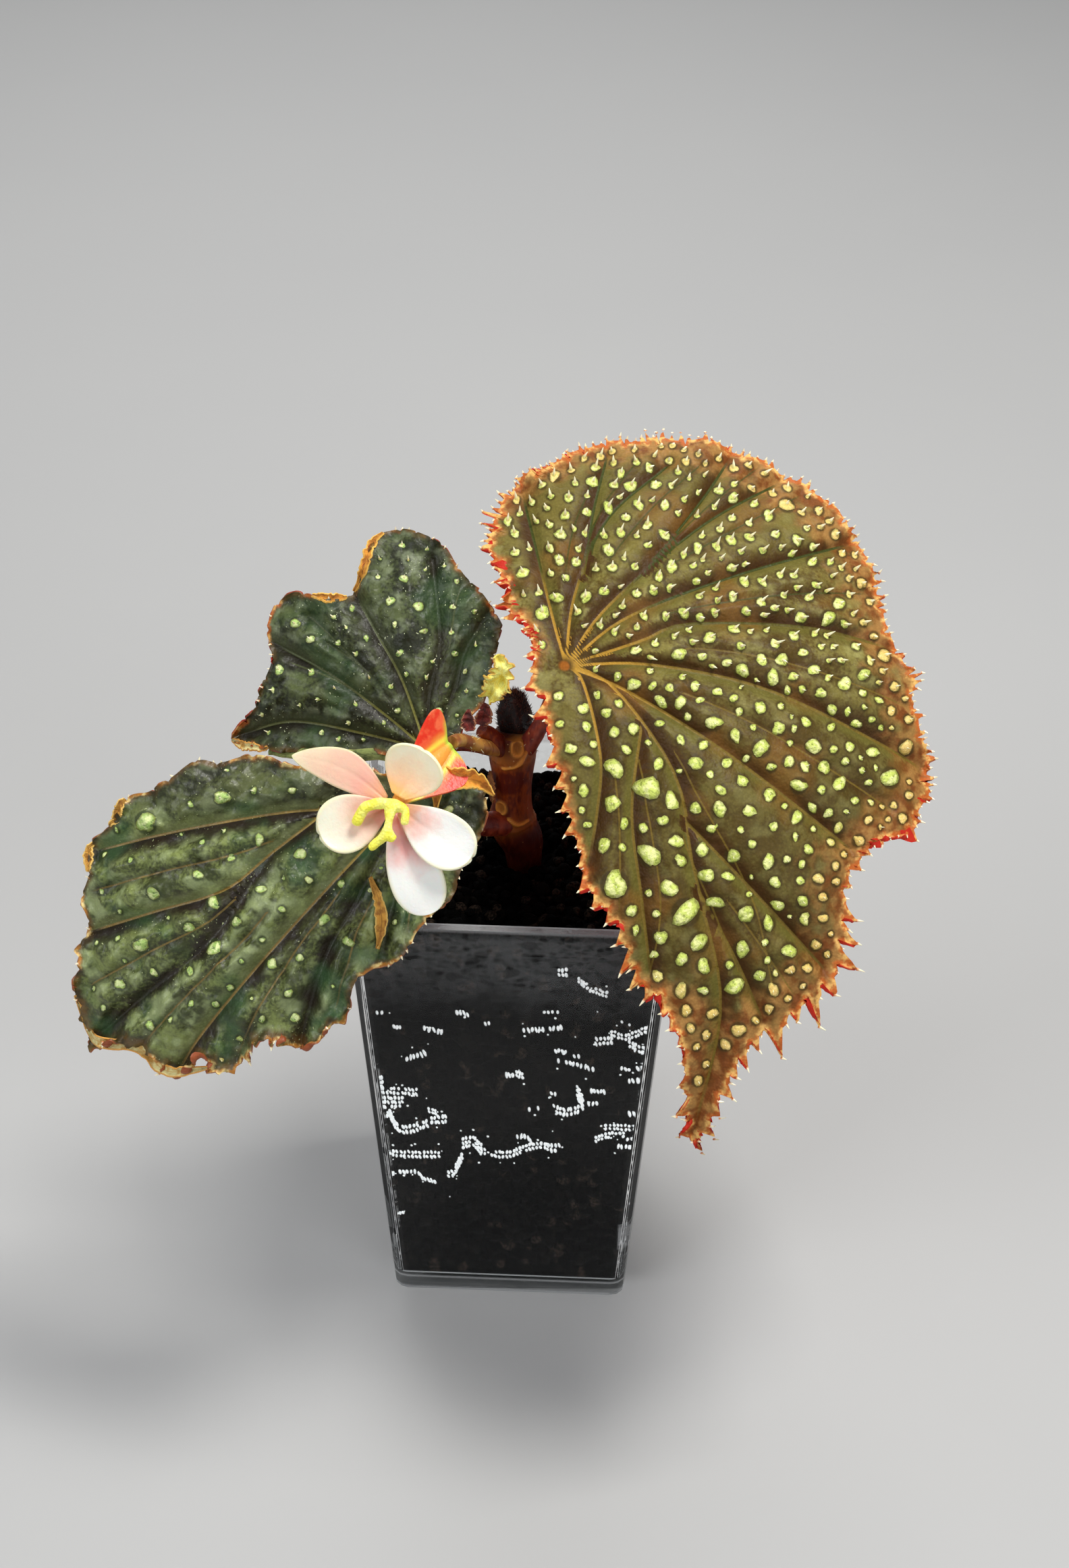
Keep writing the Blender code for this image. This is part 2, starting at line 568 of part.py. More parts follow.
def make_styles(parts, flower):
    """Three forked styles as a skinned skeleton."""
    yellow = material("styles", (0.95, 0.85, 0.05), 0.5)
    names = list(STYLES)
    bm = bmesh.new()
    dots = {name: bm.verts.new(STYLES[name][0]) for name in names}
    for name, (_, parent, _) in STYLES.items():
        if parent:
            bm.edges.new((dots[parent], dots[name]))
    made = add_bmesh("styles", bm, parts, yellow)
    made.parent = flower
    made.modifiers.new("Skin", "SKIN").branch_smoothing = 0.4
    for index, name in enumerate(names):
        skin = made.data.skin_vertices[0].data[index]
        skin.radius = (STYLES[name][2] * MM,) * 2
        skin.use_root = STYLES[name][1] is None
    soften = made.modifiers.new("Soften", "SUBSURF")
    soften.levels = soften.render_levels = 1
    made.data.shade_smooth()


def make_ovary(parts, flower):
    """A capsule with three flat wings, lofted from the back of the flower to the joint of its stalk."""
    red = material("ovary", (0.80, 0.10, 0.03), 0.5)
    start = np.array(flower.matrix_world @ Vector((0, 0, -GAP * MM))) / MM
    end = np.array(STALK_JOINT)
    ahead = unit(end - start)
    across = unit(np.cross(ahead, (0, 0, 1)))
    over = np.cross(across, ahead)
    rings = 9
    slots = 6 * len(WINGS)
    bm = bmesh.new()
    bmesh.ops.create_grid(bm, x_segments=slots, y_segments=rings, size=0.5)
    for vert in bm.verts:
        along = round((vert.co.y + 0.5) * rings) / rings
        slot = round((vert.co.x + 0.5) * slots) % slots
        wing, step = divmod(slot, 6)
        angle, reach, draw = WINGS[wing]
        next_angle = WINGS[(wing + 1) % len(WINGS)][0]
        body = OVARY_NECK + (OVARY_RADIUS - OVARY_NECK) * math.sin(math.pi * along)
        tall = body + reach * max(0, math.sin(math.pi * along**WING_SHIFT)) ** 0.6
        half = min(WING_THICKNESS / 2, 0.45 * body)
        turn = math.radians(angle)
        drawn = 0
        if step in (0, 3):
            out, aside = math.sqrt(body**2 - half**2), half * (1 if step == 0 else -1)
        elif step in (1, 2):
            out, aside = tall, half * (1 if step == 1 else -1)
            drawn = draw * (tall - body)
        else:
            sweep = (next_angle - angle) % 360 - 360
            turn = math.radians(angle + sweep * (step - 3) / 3)
            out, aside = body, 0
        x = out * math.cos(turn) - aside * math.sin(turn)
        y = out * math.sin(turn) + aside * math.cos(turn)
        vert.co = start + (end - start) * along + ahead * drawn + across * x + over * y
    bmesh.ops.remove_doubles(bm, verts=bm.verts, dist=0.002)
    bmesh.ops.holes_fill(bm, edges=[edge for edge in bm.edges if edge.is_boundary])
    bmesh.ops.triangulate(bm, faces=bm.faces)
    bmesh.ops.recalc_face_normals(bm, faces=bm.faces)
    made = add_bmesh("ovary", bm, parts, red)
    shade(made)


def make_flower(parts, clearances):
    flower = bpy.data.objects.new("flower", None)
    parts.objects.link(flower)
    frame = facing(FLOWER_FOOT, FLOWER_AZIMUTH, FLOWER_TILT)
    flower.matrix_world = Matrix.LocRotScale(frame.translation * MM, frame.to_quaternion(), None)
    bpy.context.view_layer.update()
    make_tepals(parts, flower)
    make_styles(parts, flower)
    make_ovary(parts, flower)
    stalk = material("peduncle", (0.45, 0.20, 0.05), 0.5)
    joint = np.array(STALK_JOINT)
    beyond = tuple(joint + JOINT_GAP * unit(joint - np.array(FLOWER_FOOT)))
    route = [(-3.6, -2.6, 125.6), (-7.1, -7.5, 130.3), (-9.0, -12.5, 134.8), (-9.9, -17.4, 138.4), beyond]
    peduncle = tube("peduncle", route, [1.4, 1.3, PEDUNCLE_RADIUS, PEDUNCLE_RADIUS, PEDUNCLE_RADIUS], parts, stalk)
    for clearance in clearances:
        boolean(peduncle, "DIFFERENCE", clearance)


def make_dried_bits(parts):
    towards_viewer = (0, -0.8, 0.6)
    off_the_stem = (-0.76, -0.65, 0)
    dark_red = material("stipule_red", (0.22, 0.02, 0.02), 0.7)
    yellow = material("stipule_withered", (0.80, 0.68, 0.16), 0.7)
    tan = material("bract_tan", (0.55, 0.30, 0.10), 0.8)
    blade("stipule_red", [(-6.6, -3.2, 131.6), (-6.0, -3.2, 133.6), (-5.6, -3.0, 136.4)], [1.2, 1.7, 1.5, 0.5],
          towards_viewer, dark_red, parts, ragged=0.5, crumple=0.5)
    blade("stipule_withered", [(-5.2, -3.0, 137.0), (-3.8, -3.4, 140.0), (-2.6, -3.0, 143.5), (-3.4, -2.6, 146.5)],
          [0.8, 2.2, 2.6, 2.0, 0.6], towards_viewer, yellow, parts, ragged=0.45, crumple=1.4)
    blade("stipule_stem", [(-4.6, -3.1, 113.6), (-4.7, -3.2, 117.5), (-4.9, -3.3, 121.0)], [0.4, 1.3, 1.0, 0.3],
          off_the_stem, tan, parts, ragged=0.5, crumple=0.2)
    blade("bract_peduncle", [(-8.0, -10.2, 135.4), (-8.4, -9.4, 137.0), (-8.4, -8.4, 138.8)], [0.9, 1.5, 1.1, 0.2],
          towards_viewer, dark_red, parts, ragged=0.4, crumple=0.4)
    lower = LEAF_LOWER_LEFT
    stations = [(-3.7, -13.1), (-2.5, -16.5), (-2.0, -20.5), (-2.3, -25.0)]
    lying = [lower.place(x, y, BLADE_THICKNESS + 2 * GAP) for x, y in stations]
    blade("bract_dry", lying, [0.3, 1.0, 1.3, 1.1, 0.3], tuple(lower.matrix.to_3x3() @ Vector((0, 0, 1))), tan, parts,
          ragged=0.3, crumple=0.3)


def main():
    clear_scene()
    parts = collection("potted_begonia")
    cutters = collection("cutters", is_helper=True)
    make_pot(parts, cutters)
    make_soil(parts, cutters)
    clearances = make_stem(parts, cutters)
    make_leaves(parts, clearances)
    make_flower(parts, clearances)
    make_dried_bits(parts)


main()
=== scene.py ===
"""The looks of a potted begonia: spotted leaves, flower, jointed stem, dark granules and a clear pot.

The frame is in metres. Lengths in this file are millimetres, and MM turns them into metres where a mesh
or a material needs them. Only the floor and the lamps around the plant are placed in metres.
"""

import math

import bpy
import numpy as np
from mathutils import Matrix, Vector, kdtree


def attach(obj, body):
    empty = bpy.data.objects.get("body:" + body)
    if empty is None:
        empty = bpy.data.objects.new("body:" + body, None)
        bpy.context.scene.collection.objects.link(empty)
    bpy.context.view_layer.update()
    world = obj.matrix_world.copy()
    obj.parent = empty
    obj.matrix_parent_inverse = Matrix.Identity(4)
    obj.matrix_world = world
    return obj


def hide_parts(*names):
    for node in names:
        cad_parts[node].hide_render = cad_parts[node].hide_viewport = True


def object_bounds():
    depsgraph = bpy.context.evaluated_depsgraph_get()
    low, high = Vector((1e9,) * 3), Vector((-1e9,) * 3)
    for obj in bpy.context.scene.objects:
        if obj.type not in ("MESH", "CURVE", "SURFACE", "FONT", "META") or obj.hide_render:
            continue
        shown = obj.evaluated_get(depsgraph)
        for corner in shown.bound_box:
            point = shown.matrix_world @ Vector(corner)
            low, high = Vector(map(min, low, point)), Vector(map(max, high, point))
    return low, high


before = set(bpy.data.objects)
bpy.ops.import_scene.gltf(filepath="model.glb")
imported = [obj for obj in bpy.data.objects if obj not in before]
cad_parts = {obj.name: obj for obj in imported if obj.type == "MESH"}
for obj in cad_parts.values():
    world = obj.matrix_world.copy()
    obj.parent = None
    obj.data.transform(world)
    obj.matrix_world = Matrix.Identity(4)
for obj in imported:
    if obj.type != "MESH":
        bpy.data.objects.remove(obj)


def corners(box):
    """A box as plain lists."""
    return [list(corner) for corner in box]


PACKED = corners(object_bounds())

MM = 0.001
SEED = 11

# Camera, fitted to the pot in the photograph
FOCAL_PIXELS = 3600
IMAGE_WIDTH = 1584
IMAGE_HEIGHT = 2324
SENSOR = 36.0
CAMERA_TURN = 2.037
CAMERA_RISE = 37.754
CAMERA_ROLL = 0.662
CAMERA_REACH = 456.24
CAMERA_TARGET = (3.307, 0.0, 115.806)

# Pot and soil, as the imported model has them
POT_TOP = 60.0
POT_FOOT = 48.0
POT_HEIGHT = 105.0
POT_WALL = 1.7
SOIL_TOP = 97.5
SOIL_BOTTOM = 4.1
SOIL_CLEARANCE = 0.25
SOIL_CUTS = 116
GRANULE = 2.3
GRANULE_SHELL = 8
GRANULE_LAYER = 6
LOOSE_GRANULES = 330
ON_FACE = 0.999

# The grey patch low on the pot's front right edge
BLOCK_CORNER = 22.2
BLOCK_LOW = 15.0
BLOCK_HIGH = 22.0

# Stem and stalks: middle lines and the radius at each of their points
TRUNK = [(1.5, 0.8, 91.0), (1.4, 0.6, 97.0), (0.9, 0.3, 102.0), (-0.4, 0, 105.5), (-0.9, 0, 108.0),
         (-0.9, 0, 111.5), (-0.8, 0, 117.5), (-0.8, 0, 122.5), (-0.9, 0, 125.4), (-0.8, 0.3, 127.4)]
TRUNK_RADIUS = [3.1, 3.4, 3.6, 4.3, 4.4, 3.7, 3.6, 4.0, 4.4, 3.5]
ARM = [(-1.8, -1.2, 123.6), (-3.8, -2.4, 127.0), (-6.4, -3.0, 130.4)]
ARM_RADIUS = [2.2, 1.9, 1.4]
BUD_SIZE = (3.2, 2.9, 7.6)
BUD_FOOT = (-0.7, 2.2, 127.7)
BUD_FLAT = 0.35
BUD_HAIRS = 420
STALK_HAIRS = 26

# On the stem's skin: round leaf scars as angle in degrees, height and radius, torn sheaths as the angle and
# height of their two ends, the heights of the swollen nodes, and mm round the skin for a radian
SCARS = ((17.2, 126.4, 1.2), (-32.4, 112.2, 1.2))
SHEATHS = (((-20, 122.4), (42, 125.4)), ((-6, 110.2), (50, 109.0)))
SHEATH_SAG = 0.7
LOWER_NODE = 108.6
UPPER_NODE = 124.6
SKIN_ROUND = 4

# Lines and hairs: points from one given point of a line to the next, points round a hair and its rows, and
# directions that no stalk and no hair points in
SPLINE_STEPS = 16
HAIR_SIDES = 5
HAIR_ROWS = 3
FIRST_SIDE = (0.3, 1.0, 0.2)
HAIR_SIDE = (0.31, 0.52, 0.8)

# Faces of the blades: pillows between the veins, shallower at fine veins, a valley and a thin groove along
# each vein, and all of it calm near the stalk
PILLOW_REACH = 3.0
FINE_SHALLOW = 1.7
VEIN_DEPTH = 0.5
VEIN_REACH = 1.2
GROOVE_DEPTH = 0.35
GROOVE_REACH = 0.4
CALM_REACH = 4.0

# Margins of the blades: their waves, calm near the stalk, and how far in they roll. Teeth are smaller where a
# blade has less than the narrow room
MARGIN_WAVE = 0.8
MARGIN_WAVES = 11
MARGIN_CALM = 8.0
ROLL_REACH = 1.6
NARROW_ROOM = 12.0

# Lobes of the edge: the least and the most size, the points of a blunt lobe, the points of a sharp one with
# their place and least and most height, how high a lobe is between them and how soon it gets there, and how
# far frilly lobes roll, with the odds of each
LOBE_SIZE = (0.6, 1.25)
BLUNT_PLACES = (0.14, 0.5, 0.86)
BLUNT_LEAST = (0.9, 0.4, 0.9)
BLUNT_MOST = (1.5, 1.2, 1.5)
SHARP_POINTS = ((0.2, 0.5, 0.9), (0.6, 1.2, 2.0))
PLATEAU = 0.6
PLATEAU_RISE = 0.12
ROLLS = (0.2, 0.6, 2.2)
ROLL_ODDS = (0.4, 0.3, 0.3)

# Blades: two bold veins nearer than crowded have no painted shade and painted light on their sides, and a
# blade keeps its room from the sides of the imported model's box
CROWDED = 1.4
BLADE_THICKNESS = 0.45
BLADE_ROOM = 0.5
SLOPE_STEP = 0.4
VEIN_STEPS = 24
SPINE_STEPS = 400

# Pale spots: random places that are tried, the largest radius, and the room around a spot
SPOT_TRIES = 14000
SPOT_LARGEST = 2.3
SPOT_TO_EDGE = 1.3
SPOT_TO_VEIN = 0.35
SPOT_TO_FOOT = 5
SPOT_SIDES = 12

# Flower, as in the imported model: a tepal is angle, length, half-width, the share of its length where it is
# widest, how blunt its tip is, its layer, how far its tip leans out, and its sideways bow
FLOWER_FOOT = (-19.5, -34.0, 136.8)
FLOWER_AZIMUTH = -2
FLOWER_TILT = 38
LOW_LAYER = 0.0
HIGH_LAYER = 0.95
TEPAL_THICKNESS = 0.6
TEPALS = {
    "tepal_1": (158, 19.7, 3.5, 0.52, 1.5, LOW_LAYER, -1.0, 1.7),
    "tepal_2": (62, 10.4, 5.4, 0.62, 2.2, HIGH_LAYER, 2.6, 0.0),
    "tepal_3": (-31, 16.2, 4.8, 0.62, 2.2, HIGH_LAYER, 1.2, 0.3),
    "tepal_4": (-69.5, 19.9, 4.8, 0.66, 2.3, LOW_LAYER, -1.0, 0.3),
    "tepal_5": (206, 13.4, 5.0, 0.60, 2.2, HIGH_LAYER, 1.5, 0.0),
}
TEPAL_ROOT = 1.5
TEPAL_ROWS = 27
TEPAL_COLUMNS = 15
TEPAL_CUP = {LOW_LAYER: -0.10, HIGH_LAYER: 0.22}
STALK_JOINT = (-11.1, -20.0, 139.2)

# Ovary: each wing is its angle, how far it stands out, and how far its rim is drawn towards the stalk. Wings
# have points at the stops, and one that is long enough is red all over
OVARY_RADIUS = 2.0
OVARY_NECK = 0.9
WINGS = ((112, 5.8, 0.75), (-25, 5.0, 0.0), (235, 4.0, 0.0))
WING_THICKNESS = 0.9
WING_SHIFT = 2.6
WING_STOPS = (0.0, 0.08, 0.3, 0.6, 0.85, 1.0)
LONG_WING = 7
OVARY_RINGS = 44

# Dried strips, and the direction that most of them face
STRIP_ROWS = 44
STRIP_COLUMNS = 18
STRIP_THICKNESS = 0.3
TOWARDS_VIEWER = (0, -0.8, 0.6)


def unit(vector):
    """The vector, brought to a length of 1."""
    return np.asarray(vector, float) / np.linalg.norm(vector)


def units(rows):
    """The rows, each brought to a length of 1."""
    return rows / np.linalg.norm(rows, axis=1)[:, None]


def bell(distance, width):
    """1 at no distance, falling smoothly to 0 a few widths away."""
    return np.exp(-((distance / width) ** 2))


def hill(xy, place, width):
    """1 at a place of the plane, falling smoothly to 0 a few widths away."""
    return np.exp(-np.sum((xy - place) ** 2, axis=1) / width**2)


def rotated(x, y, angle):
    """Places of a plane, turned about its middle."""
    return x * math.cos(angle) - y * math.sin(angle), x * math.sin(angle) + y * math.cos(angle)


def heading(azimuth, tilt):
    """The direction at the azimuth (0 is -Y) and the tilt above level, and the level one to its right."""
    turn, rise = math.radians(azimuth), math.radians(tilt)
    out = math.sin(turn) * math.cos(rise), -math.cos(turn) * math.cos(rise), math.sin(rise)
    return out, (math.cos(turn), math.sin(turn), 0)


def facing(foot, azimuth, tilt):
    """Matrix of a frame at foot: z has the heading, x is level and y goes up the slope."""
    out, across = (Vector(direction) for direction in heading(azimuth, tilt))
    matrix = Matrix((across, out.cross(across), out)).transposed().to_4x4()
    matrix.translation = Vector(foot)
    return np.array(matrix)


def carried(matrix, points):
    """Points of a frame, in the world."""
    placed = points.reshape(-1, 3) @ matrix[:3, :3].T + matrix[:3, 3]
    return placed.reshape(points.shape)


def spline(points, steps):
    """steps + 1 points at even lengths along a smooth curve through the given ones."""
    fixed = np.asarray(points, float)
    ends = np.vstack([2 * fixed[0] - fixed[1], fixed, 2 * fixed[-1] - fixed[-2]])
    t = np.linspace(0, 1, SPLINE_STEPS, endpoint=False)[:, None]
    runs = []
    for a, b, c, d in zip(ends, ends[1:], ends[2:], ends[3:]):
        square = 2 * a - 5 * b + 4 * c - d
        cube = 3 * b - a - 3 * c + d
        runs.append(b + t * (c - a) / 2 + t**2 * square / 2 + t**3 * cube / 2)
    fine = np.vstack(runs + [fixed[-1:]])
    length = np.concatenate([[0], np.cumsum(np.linalg.norm(np.diff(fine, axis=0), axis=1))])
    even = np.linspace(0, length[-1], steps + 1)
    return np.stack([np.interp(even, length, fine[:, i]) for i in range(fixed.shape[1])], axis=1)


def to_lines(points, lines):
    """Distance from each 2D point to the nearest polyline, and the same with a sign for its side."""
    nearest = np.full(len(points), np.inf)
    side = np.ones(len(points))
    for line in lines:
        for a, b in zip(line, line[1:]):
            along = np.clip((points - a) @ (b - a) / ((b - a) @ (b - a)), 0, 1)
            off = points - a - along[:, None] * (b - a)
            distance = np.linalg.norm(off, axis=1)
            closer = distance < nearest
            nearest[closer] = distance[closer]
            side[closer] = np.sign((b - a)[0] * off[closer, 1] - (b - a)[1] * off[closer, 0] + 1e-9)
    return nearest, nearest * side


def smooth(values, start, end):
    """0 at start and 1 at end, eased."""
    t = np.clip((values - start) / (end - start), 0, 1)
    return t * t * (3 - 2 * t)


def ripple(points, size, draw, waves=24):
    """A smooth random field over the points, mostly from -1 to 1, with swells of about the size."""
    total = np.zeros(len(points))
    for _ in range(waves):
        ahead = unit(draw.normal(size=points.shape[1]))
        length = size * draw.uniform(0.7, 1.5)
        total += np.sin(points @ ahead * 2 * math.pi / length + draw.uniform(0, 7))
    return total / math.sqrt(waves)


# Meshes

def select(piece):
    """Makes the piece the only selected one, and the active one."""
    bpy.ops.object.select_all(action="DESELECT")
    piece.select_set(True)
    bpy.context.view_layer.objects.active = piece


def primitive(name, add, **settings):
    """A new primitive from the operator that adds it."""
    bpy.ops.object.select_all(action="DESELECT")
    add(**settings)
    piece = bpy.context.object
    piece.name = name
    return piece


def sheet(name, points):
    """A grid primitive, moved point by point to rows and columns of points."""
    rows, columns = points.shape[:2]
    piece = primitive(name, bpy.ops.mesh.primitive_grid_add,
                      x_subdivisions=columns - 1, y_subdivisions=rows - 1, size=1)
    piece.data.name = name
    move_points(piece, points.reshape(-1, 3))
    return piece


def ball_piece(name, segments, rings):
    """A ball with a radius of 1 mm, and its points."""
    piece = primitive(name, bpy.ops.mesh.primitive_uv_sphere_add,
                      segments=segments, ring_count=rings, radius=MM)
    return piece, points_of(piece)


def move_points(piece, points):
    """Puts the piece's points at places in mm."""
    piece.data.vertices.foreach_set("co", (np.asarray(points) * MM).astype(np.float32).ravel())
    piece.data.update()


def points_of(piece):
    """The places of the piece's points, in mm."""
    flat = np.zeros(3 * len(piece.data.vertices), np.float32)
    piece.data.vertices.foreach_get("co", flat)
    return flat.reshape(-1, 3) / MM


def kept_inside(points, room=0.05):
    """The points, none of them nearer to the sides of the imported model's box than the room."""
    low, high = (np.array(corner) / MM for corner in PACKED)
    return np.clip(points, low + room, high - room)


def mark(piece, **values):
    """Keeps a number per point on the piece, for its material."""
    for name, numbers in values.items():
        found = piece.data.attributes.get(name) or piece.data.attributes.new(name, "FLOAT", "POINT")
        found.data.foreach_set("value", np.ravel(numbers).astype(np.float32))


def weld(piece, distance=0.004, close=False):
    """Merges points that meet, and closes open ends and turns faces outwards if close is set."""
    select(piece)
    bpy.ops.object.mode_set(mode="EDIT")
    bpy.ops.mesh.select_all(action="SELECT")
    bpy.ops.mesh.remove_doubles(threshold=distance * MM)
    if close:
        bpy.ops.mesh.fill_holes(sides=0)
        bpy.ops.mesh.select_all(action="SELECT")
        bpy.ops.mesh.normals_make_consistent(inside=False)
    bpy.ops.object.mode_set(mode="OBJECT")


def modify(piece, kind, **settings):
    """Adds one modifier with the settings and applies it."""
    select(piece)
    step = piece.modifiers.new(kind.title(), kind)
    for key, value in settings.items():
        setattr(step, key, value)
    bpy.ops.object.modifier_apply(modifier=step.name)


def thicken(piece, thickness):
    modify(piece, "SOLIDIFY", thickness=thickness * MM, offset=-1)


def soften(piece, levels=1):
    modify(piece, "SUBSURF", levels=levels, render_levels=levels)


def finished(piece, slot, finish, *replaced, sharp=60):
    """Gives the piece its material and smooth shading, hangs it under the root body, and hides the imported
    parts it replaces.
    """
    piece.data.materials.clear()
    piece.data.materials.append(finish)
    piece.data.shade_smooth()
    piece.data.set_sharp_from_angle(angle=math.radians(sharp))
    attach(piece, "root")
    if replaced:
        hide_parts(*replaced)
    return piece


def frames_along(path):
    """Directions sideways and over at each point of a line, turned as little as can be."""
    ahead = units(np.gradient(path, axis=0))
    side = np.zeros_like(path)
    side[0] = unit(np.cross(ahead[0], FIRST_SIDE))
    for row in range(1, len(path)):
        side[row] = unit(side[row - 1] - ahead[row] * (side[row - 1] @ ahead[row]))
    return side, np.cross(ahead, side)


def tube_points(points, radii, steps, segments):
    """The path of a round stalk along a smooth line, the outward directions of its rings, and its radii."""
    path = spline(points, steps)
    radius = spline(np.column_stack([np.linspace(0, 1, len(radii)), radii]), steps)
    radius = np.interp(np.linspace(0, 1, steps + 1), radius[:, 0], radius[:, 1])
    side, over = frames_along(path)
    angle = np.linspace(0, 2 * math.pi, segments + 1)
    ring = side[:, None] * np.cos(angle)[None, :, None] + over[:, None] * np.sin(angle)[None, :, None]
    return path, ring, radius


def wrapped(name, points, **marks):
    """A closed skin from rings of points, whose first and last columns meet."""
    piece = sheet(name, points)
    mark(piece, **marks)
    weld(piece, close=True)
    return piece


def indexed(points):
    """A tree that finds the points nearest to a place."""
    tree = kdtree.KDTree(len(points))
    for index, point in enumerate(points):
        tree.insert(point, index)
    tree.balance()
    return tree


def copies(name, template, points):
    """One mesh of many copies of the template, whose own points are given copy by copy."""
    faces = [tuple(face.vertices) for face in template.data.polygons]
    count = len(template.data.vertices)
    bpy.data.objects.remove(template)
    every = [tuple(corner + k * count for corner in face) for k in range(len(points)) for face in faces]
    mesh = bpy.data.meshes.new(name)
    mesh.from_pydata((points.reshape(-1, 3) * MM).tolist(), [], every)
    piece = bpy.data.objects.new(name, mesh)
    bpy.context.scene.collection.objects.link(piece)
    return piece


def spikes(name, feet, ahead, lengths, radius, bends):
    """Thin tapered hairs from their feet, each curving towards its bend; they carry their share of length."""
    turn = np.linspace(0, 2 * math.pi, HAIR_SIDES, endpoint=False)
    ring = [(math.cos(angle), math.sin(angle)) for angle in [*turn, turn[0]]]
    rows = [[(x, y, row / HAIR_ROWS) for x, y in ring] for row in range(HAIR_ROWS + 1)]
    template = wrapped("hair", np.array(rows))
    shape = points_of(template)
    side = units(np.cross(ahead, HAIR_SIDE))
    over = np.cross(ahead, side)
    taper = (1 - 0.85 * shape[:, 2] ** 1.3)[None, :, None] * np.reshape(radius, (-1, 1, 1))
    up = shape[None, :, 2, None]
    reach = lengths[:, None, None]
    points = feet[:, None] + ahead[:, None] * up * reach + bends[:, None] * up**2 * reach
    points = points + (side[:, None] * shape[None, :, :1] + over[:, None] * shape[None, :, 1:2]) * taper
    piece = copies(name, template, kept_inside(points))
    mark(piece, along=np.tile(shape[:, 2], len(feet)))
    return piece


# Materials

class Value:
    """A socket of a material's nodes. Python's operators on it add Math nodes."""

    def __init__(self, tree, socket):
        self.tree = tree
        self.socket = socket

    def join(self, operation, first, second):
        made = self.tree.nodes.new("ShaderNodeMath")
        made.operation = operation
        plug(self.tree, made.inputs[0], first)
        plug(self.tree, made.inputs[1], second)
        return Value(self.tree, made.outputs[0])

    def __add__(self, other):
        return self.join("ADD", self, other)

    def __radd__(self, other):
        return self.join("ADD", other, self)

    def __sub__(self, other):
        return self.join("SUBTRACT", self, other)

    def __rsub__(self, other):
        return self.join("SUBTRACT", other, self)

    def __mul__(self, other):
        return self.join("MULTIPLY", self, other)

    def __lt__(self, other):
        return self.join("LESS_THAN", self, other)

    def __gt__(self, other):
        return self.join("GREATER_THAN", self, other)


def plug(tree, slot, item):
    """Links a value into a node's socket, or sets the socket to a plain one."""
    if isinstance(item, Value):
        tree.links.new(item.socket, slot)
    elif isinstance(item, tuple) and len(item) == 3 and slot.type == "RGBA":
        slot.default_value = (*item, 1)
    else:
        slot.default_value = item


class Finish:
    """A material built node by node. Sizes of its patterns are in mm."""

    def __init__(self, name):
        self.material = bpy.data.materials.new(name)
        self.material.use_nodes = True
        self.tree = self.material.node_tree
        self.place = self.node("ShaderNodeTexCoord", output="Object")

    def node(self, kind, settings=(), sockets=(), output=0):
        """Adds a node: its settings first, then the values or links of its sockets. Gives one output."""
        made = self.tree.nodes.new(kind)
        for key, value in dict(settings).items():
            setattr(made, key, value)
        for key, value in dict(sockets).items():
            plug(self.tree, made.inputs[key], value)
        return Value(self.tree, made.outputs[output])

    def stretched(self, along):
        """Object coordinates, scaled by a factor per axis."""
        return self.node("ShaderNodeMapping", {}, {"Vector": self.place, "Scale": along})

    def noise(self, size, detail=3.0, at=None):
        sockets = {"Vector": at or self.place, "Scale": 1000 / size, "Detail": detail}
        return self.node("ShaderNodeTexNoise", {}, sockets)

    def cells(self, size, at=None):
        """Distance from the nearest of many scattered points."""
        sockets = {"Vector": at or self.place, "Scale": 1000 / size}
        return self.node("ShaderNodeTexVoronoi", {}, sockets, "Distance")

    def axis(self, name):
        """One of the object coordinates, in metres."""
        return self.node("ShaderNodeSeparateXYZ", {}, {"Vector": self.place}, name)

    def read(self, name):
        """The number that each point of the piece carries under the name."""
        return self.node("ShaderNodeAttribute", {"attribute_name": name}, {}, "Fac")

    def ease(self, value, start, end):
        """0 where the value is start and 1 where it is end, eased between."""
        flip = start > end
        made = self.node("ShaderNodeMapRange", {"interpolation_type": "SMOOTHSTEP"},
                         {"Value": value, "From Min": min(start, end), "From Max": max(start, end)})
        return 1 - made if flip else made

    def mix(self, first, second, share):
        """Colour between first, where share is 0, and second, where it is 1."""
        return self.node("ShaderNodeMix", {"data_type": "RGBA"}, {0: share, 6: first, 7: second}, 2)

    def bump(self, height, depth, under=None):
        """A normal from a height of 0 to 1 that stands for the depth in mm."""
        sockets = {"Height": height, "Distance": depth * MM}
        if under:
            sockets["Normal"] = under
        return self.node("ShaderNodeBump", {}, sockets)

    def shade(self, **sockets):
        """Sets the sockets of the Principled shader, named with underscores, and gives the material."""
        shader = self.tree.nodes["Principled BSDF"]
        for key, value in sockets.items():
            plug(self.tree, shader.inputs[key.replace("_", " ")], value)
        return self.material


